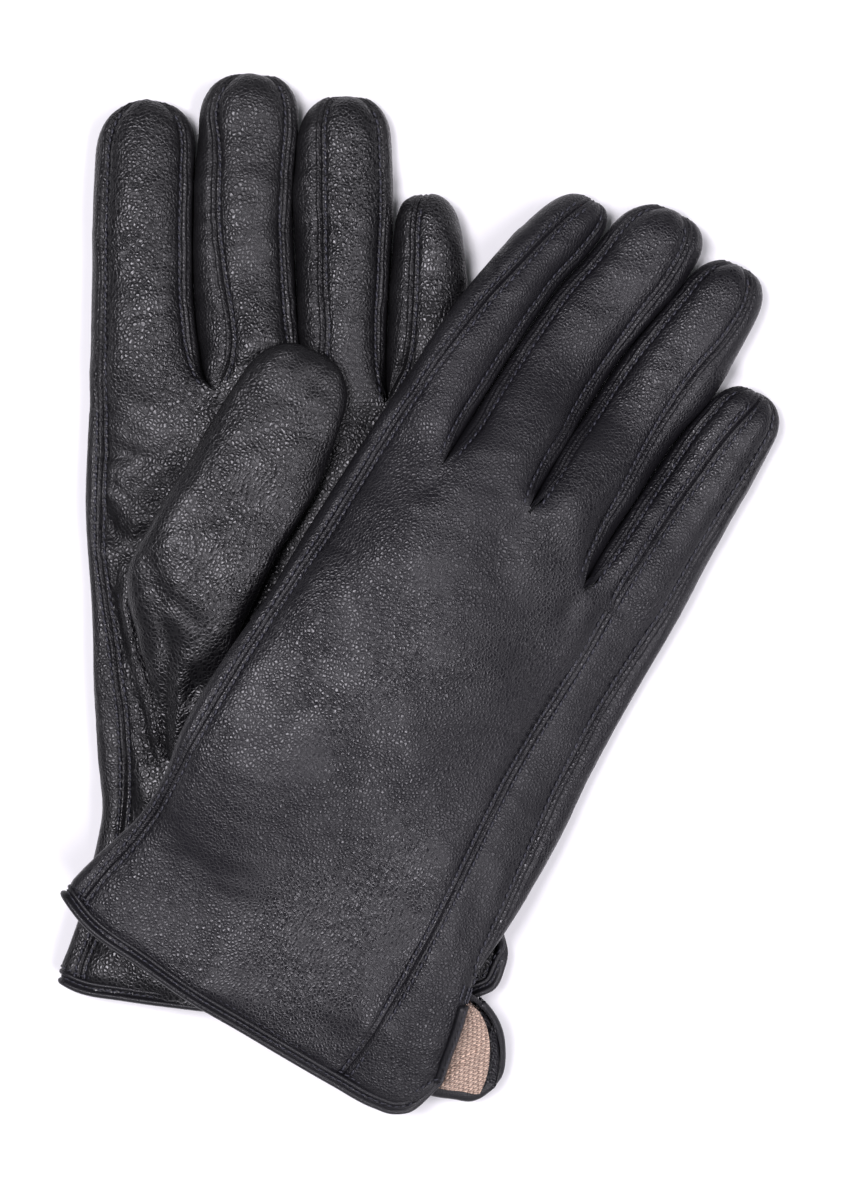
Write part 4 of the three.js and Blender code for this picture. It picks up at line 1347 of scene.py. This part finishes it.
@dataclass
class GloveMaker:
    """Builds all pieces of one glove and ties those that ride on the hand to the frame."""

    glove: Glove
    wardrobe: Wardrobe
    thumb: Thumb

    def settle(self, obj: bpy.types.Object, slot: Slot, nodes: Sequence[str] = (),
               body: str = "hand") -> None:
        """Dresses a piece, ties it to the hand if its body is the hand, and hides the nodes it stands for.
        """
        self.wardrobe.dress(obj, self.glove.name, slot)
        if body == "hand":
            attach(obj, f"{self.glove.name}_hand")
        if nodes:
            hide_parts(*(f"{self.glove.name}_{node}" for node in nodes))
        log.info("%s: %d faces", obj.name, len(obj.data.polygons))

    def root(self, v: Array) -> Array:
        """Height of the line where the hand ends and the fingers start."""
        fingers = self.glove.fingers
        places = [float(fingers[0].left(np.array(fingers[0].roots[0])))]
        heights = [fingers[0].roots[0]]
        for finger in fingers:
            places.append(float(finger.right(np.array(finger.roots[1]))))
            heights.append(finger.roots[1])
        return np.interp(v, places, heights)

    def hand_heights(self, angle: Array, t: Array) -> Array:
        """Heights of the hand's rows: a share t of the way from just inside the hem to the roots."""
        u = lerp(np.zeros(np.shape(t)), np.full(np.shape(t), MEAN_ROOT), t)
        for _ in range(5):
            v = self.glove.hand_plan(angle, u)
            u = (u + lerp(self.glove.hem(angle, v) + 0.9, self.root(v), t)) / 2
        return u

    def hand_rows(self) -> Array:
        """Shares for the hand's rows, with one beyond each end and one tucked under the fingers."""
        body = np.linspace(0, 1, int(HAND_LENGTH / ROW_STEP))
        return np.concatenate([[-0.006], body, [1.005, 1.011]])

    def make_hand(self) -> None:
        """The hand's panels, lining, binding and sewing."""
        glove, name = self.glove, self.glove.name
        seams = glove.seams

        def inset(u: Array) -> Array:
            """The lining's edge, drawn back from the open vent and close to the side above it."""
            return LINING_EDGE + LINING_OPENING * (1 - ease(u, VENT_LENGTH - 4, VENT_LENGTH + 3))

        if glove.back_up:
            panels = {
                "little_side_panel": (seams["outer"], seams["little"], Slot.SIDE),
                "back_panel": (seams["little"], seams["index"], Slot.GRAIN),
                "index_side_panel": (seams["index"], fixed(195), Slot.SIDE),
                "palm_panel": (fixed(195), plus_turn(seams["outer"]), Slot.GRAIN),
            }
        else:
            panels = {
                "little_side_panel": (fixed(0), fixed(60), Slot.SIDE),
                "back_panel": (fixed(60), fixed(150), Slot.GRAIN),
                "index_side_panel": (fixed(150), seams["index"], Slot.SIDE),
                "palm_panel": (seams["index"], fixed(360), Slot.GRAIN),
            }
        for part, (start, stop, slot) in panels.items():
            strip = Strip(glove, glove.hand, self.hand_heights, start, stop, self.hand_rows(),
                          tuck=0.1)
            self.settle(strip.build(f"{name}_{part}_leather"), slot, [part])
        rows = np.concatenate([[0.016], np.linspace(0.022, 0.94, 102), [0.945]])
        lining = Strip(glove, glove.hand, self.hand_heights, inset, lambda u: 360 - inset(u),
                       rows, sewn=(False, False), depth=LINING_DEPTH, thickness=LINING)
        self.settle(lining.build(f"{name}_hand_knit"), Slot.KNIT, ["hand_lining"])
        binding = Binding(glove)
        self.settle(binding.build(f"{name}_cuff_roll"), Slot.BINDING, ["cuff_binding"])
        sewing = Sewing(glove, f"{name}_hand_stitching")
        binding.rows(sewing)
        for key in ("index", "little") if glove.back_up else ("index",):
            for side in (-STITCH_INSET, STITCH_INSET):
                start = 3.0 if key == "index" else -3.6
                sewing.follow(glove.hand, seams[key], (start, self.seam_end(key)), side)
        if glove.back_up:
            sewing.follow(glove.hand, seams["outer"], (31.0, 138.0), STITCH_INSET)
        self.bar_tack(sewing)
        self.settle(sewing.make(), Slot.THREAD)

    def seam_end(self, key: str) -> float:
        """Height at which a seam of the hand passes on to its finger."""
        finger = self.glove.fingers[0 if key == "index" else -1]
        return float(sum(finger.roots)) / 2 - 0.6

    def bar_tack(self, sewing: Sewing) -> None:
        """The dense stitches that hold the head of the vent."""
        u = np.linspace(VENT_LENGTH + 0.4, VENT_LENGTH + 5.0, 12)
        for turn in (4.0, 12.0, 20.0) if self.glove.back_up else (340.0, 348.0, 356.0):
            angle = np.full(u.shape, turn)
            point = self.glove.hand(angle, u) + np.array([0.0, 0.0, 0.6])
            normal = np.zeros_like(point) + np.array([0.5, 0.0, 0.86])
            sewing.add(point, normal, Thread(pitch=1.1, length=1.5, radius=0.34))

    def finger_heights(self, finger: Finger) -> Callable[[Array, Array], Array]:
        """Heights of a finger's rows: evenly up to the tip's round, then closer and closer."""
        def heights(angle: Array, t: Array) -> Array:
            """Height of each row: t runs 0 to 1 up to the tip's round, and 1 to 2 over it."""
            root = lerp(*finger.roots, (boxed(np.cos(np.radians(angle))) + 1) / 2)
            body = lerp(root, finger.end - finger.tip, np.minimum(t, 1.0))
            turn = np.clip(t - 1.0, 0.0, 1.0) * math.pi / 2
            past = np.maximum(t - 2.0, 0.0)
            return np.where(t <= 1, body, finger.end - finger.tip * (1 - np.sin(turn)) + past)

        return heights

    def make_finger(self, finger: Finger) -> None:
        """A finger's four strips, its stall of lining and its sewing."""
        glove, name = self.glove, self.glove.name
        heights = self.finger_heights(finger)
        length = finger.end - finger.tip - min(finger.roots)
        rows = np.concatenate([
            [-0.012], np.linspace(0, 1, int(length / ROW_STEP)),
            1 + np.linspace(0, 1, 13)[1:], [2.3]])

        def surface(angle: Array, u: Array) -> Array:
            """This finger's skin."""
            return glove.finger(finger, angle, u)

        def beside_gap(seam: Curve) -> bool:
            """Whether another finger stands on the seam's side."""
            turn = float(np.mean(seam(np.array([(finger.roots[0] + finger.roots[1]) / 2 + 25.0]))))
            return finger.gap_right if math.cos(math.radians(turn)) > 0 else finger.gap_left

        made = []
        for k, part in enumerate(finger.names):
            first, last = finger.seams[k], finger.seams[k + 1]
            ramps = tuple(0.09 if beside_gap(seam) else 0.0 for seam in (first, last))
            strip = Strip(glove, surface, heights, first, last, rows, ramps=ramps)
            node = f"{finger.name}_finger_{part}"
            slot = Slot.GRAIN if part in ("back", "palm") else Slot.SIDE
            made.append((strip.build(f"{name}_{node}_leather"), slot, [node]))
        t = np.concatenate([np.linspace(0.14, 1, 20), 1 + np.linspace(0, 0.42, 4)[1:]])[:, None]
        angle = np.linspace(0, 360, 28, endpoint=False)[None, :] + np.zeros_like(t)
        u = heights(angle, t + np.zeros_like(angle))
        skin = surface(angle, u)
        heart = skin.mean(axis=1, keepdims=True)
        lining = make_sock(f"{name}_{finger.name}_finger_knit", glove.lay,
                           lerp(heart, skin, 0.8), lerp(heart, skin, 0.68))
        flat_map(lining)
        made.append((lining, Slot.KNIT, [f"{finger.name}_finger_lining"]))
        sewing = self.finger_sewing(finger, surface)
        made.append((sewing.make(), Slot.THREAD, []))
        start, end = finger.bend, finger.bend + 14.0
        middle = float((finger.left(np.array(start)) + finger.right(np.array(start))) / 2)
        line = glove.lay.place(np.array([[middle, start, 6.0], [middle, end, 6.0]]))
        for obj, slot, nodes in made:
            self.settle(obj, slot, nodes, body=finger.name)
            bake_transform(obj)

    def finger_sewing(self, finger: Finger, surface: Surface) -> Sewing:
        """The rows beside the finger's seams that lie upwards."""
        sewing = Sewing(self.glove, f"{self.glove.name}_{finger.name}_finger_stitching")
        top = finger.end - TIP_BARE
        root = (finger.roots[0] + finger.roots[1]) / 2
        if self.glove.back_up:
            rows = {
                "index": ((0, 1.4), (1, -STITCH_INSET), (1, STITCH_INSET)),
                "middle": ((0, 1.4), (1, -1.4)),
                "ring": ((0, 1.4), (1, -1.4)),
                "little": ((0, 1.3), (1, -STITCH_INSET), (1, STITCH_INSET), (2, -1.4)),
            }[finger.name]
        else:
            rows = {
                "index": ((3, -1.3), (2, 1.3)),
                "middle": ((2, 1.3), (3, -1.3)),
                "ring": ((2, 1.3), (3, -1.3)),
                "little": ((3, 1.3),),
            }[finger.name]
        for seam, inset in rows:
            turn = finger.seams[seam]
            side = math.cos(math.radians(float(np.mean(turn(np.array([root + 25.0]))))))
            start = finger.roots[1] if side > 0 else finger.roots[0]
            sewing.follow(surface, turn, (start + 0.3, top), inset)
        return sewing

    def make_thumb(self) -> None:
        """The thumb's leather, its lining, and the double row along the thumb hole's seam."""
        name, thumb = self.glove.name, self.thumb
        leather = thumb.build(f"{name}_thumb_leather")
        lining = thumb.build_lining(f"{name}_thumb_knit", 1.0)
        flat_map(lining)
        if name == "right":
            self.settle(leather, Slot.GRAIN, ["thumb", "thumb_quirk"])
            self.settle(lining, Slot.KNIT, ["thumb_lining"])
            return
        sewing = Sewing(self.glove, "left_thumb_hole_stitching")
        r = np.arange(-40.0, 4.0, 0.6)
        for inset in (-1.3, -3.4):
            v, u = thumb.plan(thumb.left(r) + inset, r)
            angle = 360 - angle_on_back(v, self.glove.left(u), self.glove.right(u))
            point = self.glove.hand(angle, u)
            point[:, 2] += self.glove.relief(angle, point[:, 0], point[:, 1])
            sewing.add(point, np.zeros_like(point) + np.array([0.0, 0.0, 1.0]))
        self.settle(sewing.make(), Slot.THREAD)
        self.settle(leather, Slot.GRAIN, ["thumb", "thumb_quirk"], body="thumb")
        self.settle(lining, Slot.KNIT, ["thumb_lining"], body="thumb")
        ends = [thumb.plan(np.array(0.0), np.array(r)) for r in (-5.0, 13.0)]
        line = self.glove.lay.place(np.array([[v, u, 18.0] for v, u in ends]))
        for piece in (leather, lining):
            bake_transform(piece)

    def make(self) -> None:
        """The whole glove."""
        self.make_hand()
        for finger in self.glove.fingers:
            self.make_finger(finger)
        self.make_thumb()


def left_thumb(glove: Glove) -> Thumb:
    """The left thumb, folded over the palm."""
    return Thumb(
        glove, (-21.5, 104.5), math.radians(28),
        Line(((-42, 15.0), (-32, 7.0), (-23, 0.0), (-14, -7.4), (-6, -14.0), (1.3, -17.4),
              (8, -17.6), (16, -16.9), (24.5, -16.4), (32, -15.3), (46, -14.4), (58, -12.9),
              (68, -11.5), (77, -10.5))),
        Line(((-42, 25.0), (-20, 22.0), (-3, 17.2), (11, 17.2), (22, 17.2), (33, 18.6),
              (43, 19.3), (53, 18.6), (63, 17.4), (70, 16.8), (77, 16.5))),
        Line(((-42, 1.0), (-30, 4.2), (-20, 7.0), (-10, 9.4), (0, 10.6), (12, 11.2), (40, 11.0),
              (60, 10.4), (77, 9.5))),
        -41.0, 76.4, 13.0,
        lambda v, u: 12.9 - 2.6 * (1 - ease((v + 21.5) * 0.469 + (u - 104.5) * 0.883, -14, 4)),
        1.0,
        creases=(
            Crease(((-22, 89), (-25.5, 70), (-26, 62)), -0.9, 2.0),
            Crease(((-26.5, 96), (-28, 80), (-28.5, 68)), 0.8, 2.2),
            Crease(((-30, 108), (-24, 92), (-18, 78)), 0.6, 3.0),
            Crease(((-31, 116), (-26, 106), (-19, 100)), 0.7, 2.4),
            Crease(((8, 158), (14, 162), (20, 160)), 0.35, 2.5),
            Crease(((-4, 146), (6, 150), (16, 148)), 0.3, 2.6),
            Crease(((-14, 126), (-4, 130), (8, 127)), 0.35, 3.4),
        ),
        ripples=(Ripple(31, 10, 34, 0.32), Ripple(32, 3, 8, 0.07, 34, 0.8)),
    )


def right_thumb(glove: Glove) -> Thumb:
    """The right thumb, tucked flat under its palm."""
    lift = glove.lift
    return Thumb(
        glove, (-22, 92), math.radians(28),
        Line(((-27, -9.5), (0, -15.6), (30, -15.6), (58, -13.6))),
        Line(((-27, 9.5), (0, 15.6), (30, 15.6), (58, 13.6))),
        Line(((-27, 1.4), (-12, 4.5), (0, 6.6), (58, 6.4))),
        -27.0, 57.5, 12.0, lambda v, u: lift(v, u) - 1.8, -1.0,
    )


# ------------------------------------------------------------------------------------------- stage


LAMP_COLOUR = (0.985, 0.95, 1.03)
LAMPS = (
    ("key", (-0.34, 0.12, 1.12), 0.42, 12.5),
    ("right_side", (0.66, 0.06, 1.1), 0.45, 6.0),
    ("low_side", (0.45, -0.75, 1.0), 0.4, 8.0),
)
ROOM_COLOUR = (0.92, 0.95, 1.0, 1)
ROOM_LIGHT = 0.14
FLOOR_SIDES = 96
FLOOR_RADIUS = 3
FLOOR_DROP = -0.0002


@dataclass(frozen=True)
class Studio:
    """A plain pale floor, a key light from the left, two dimmer ones, and a camera looking down."""

    aim: tuple[float, float] = (0.00016, 0.00138)
    height: float = 0.907
    lens: float = 100.0
    sensor: float = 36.0

    def camera(self) -> None:
        """The camera: its sensor's long side covers the long side of the frame."""
        data = bpy.data.cameras.new("camera")
        data.lens, data.sensor_width, data.sensor_fit = self.lens, self.sensor, "AUTO"
        data.clip_start, data.clip_end = 0.05, 10.0
        camera = bpy.data.objects.new("camera", data)
        camera.location = (*self.aim, self.height)
        bpy.context.scene.collection.objects.link(camera)
        bpy.context.scene.camera = camera

    def light(self, name: str, place: tuple[float, float, float], size: float, power: float) -> None:
        """A square soft light that faces the middle of the floor."""
        data = bpy.data.lights.new(name, "AREA")
        data.shape, data.size, data.energy = "SQUARE", size, power
        data.color = LAMP_COLOUR
        lamp = bpy.data.objects.new(name, data)
        lamp.location = place
        towards = -lamp.location
        lamp.rotation_euler = towards.to_track_quat("-Z", "Y").to_euler()
        bpy.context.scene.collection.objects.link(lamp)

    def floor(self) -> None:
        """A wide disc of matt white card just under the gloves."""
        turns = np.linspace(0, 2 * np.pi, FLOOR_SIDES, endpoint=False)
        ring = np.stack([np.cos(turns) * FLOOR_RADIUS, np.sin(turns) * FLOOR_RADIUS,
                         np.full(FLOOR_SIDES, FLOOR_DROP)], -1)
        mesh = bpy.data.meshes.new("floor")
        mesh.from_pydata(ring.tolist(), [], [list(range(FLOOR_SIDES))])
        obj = bpy.data.objects.new("floor", mesh)
        bpy.context.scene.collection.objects.link(obj)
        material = bpy.data.materials.new("floor_card")
        material.use_nodes = True
        shader = material.node_tree.nodes["Principled BSDF"]
        shader.inputs["Base Color"].default_value = (0.93, 0.93, 0.93, 1)
        shader.inputs["Roughness"].default_value = 0.9
        shader.inputs["Specular IOR Level"].default_value = 0.0
        mesh.materials.append(material)

    def build(self) -> None:
        """Floor, lights, world and view."""
        self.floor()
        for lamp in LAMPS:
            self.light(*lamp)
        world = bpy.data.worlds.new("room")
        world.use_nodes = True
        world.node_tree.nodes["Background"].inputs[0].default_value = ROOM_COLOUR
        world.node_tree.nodes["Background"].inputs[1].default_value = ROOM_LIGHT
        bpy.context.scene.world = world
        bpy.context.scene.view_settings.view_transform = "Standard"


def main() -> None:
    """Builds the gloves piece by piece and reports each."""
    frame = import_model()
    studio = Studio()
    studio.camera()
    studio.build()
    wardrobe = Wardrobe()
    left = left_glove(frame)
    right = right_glove(frame, left)
    GloveMaker(left, wardrobe, left_thumb(left)).make()
    GloveMaker(right, wardrobe, right_thumb(right)).make()


if __name__ == "__main__":
    logging.basicConfig(level=logging.INFO, format="%(message)s")
    main()
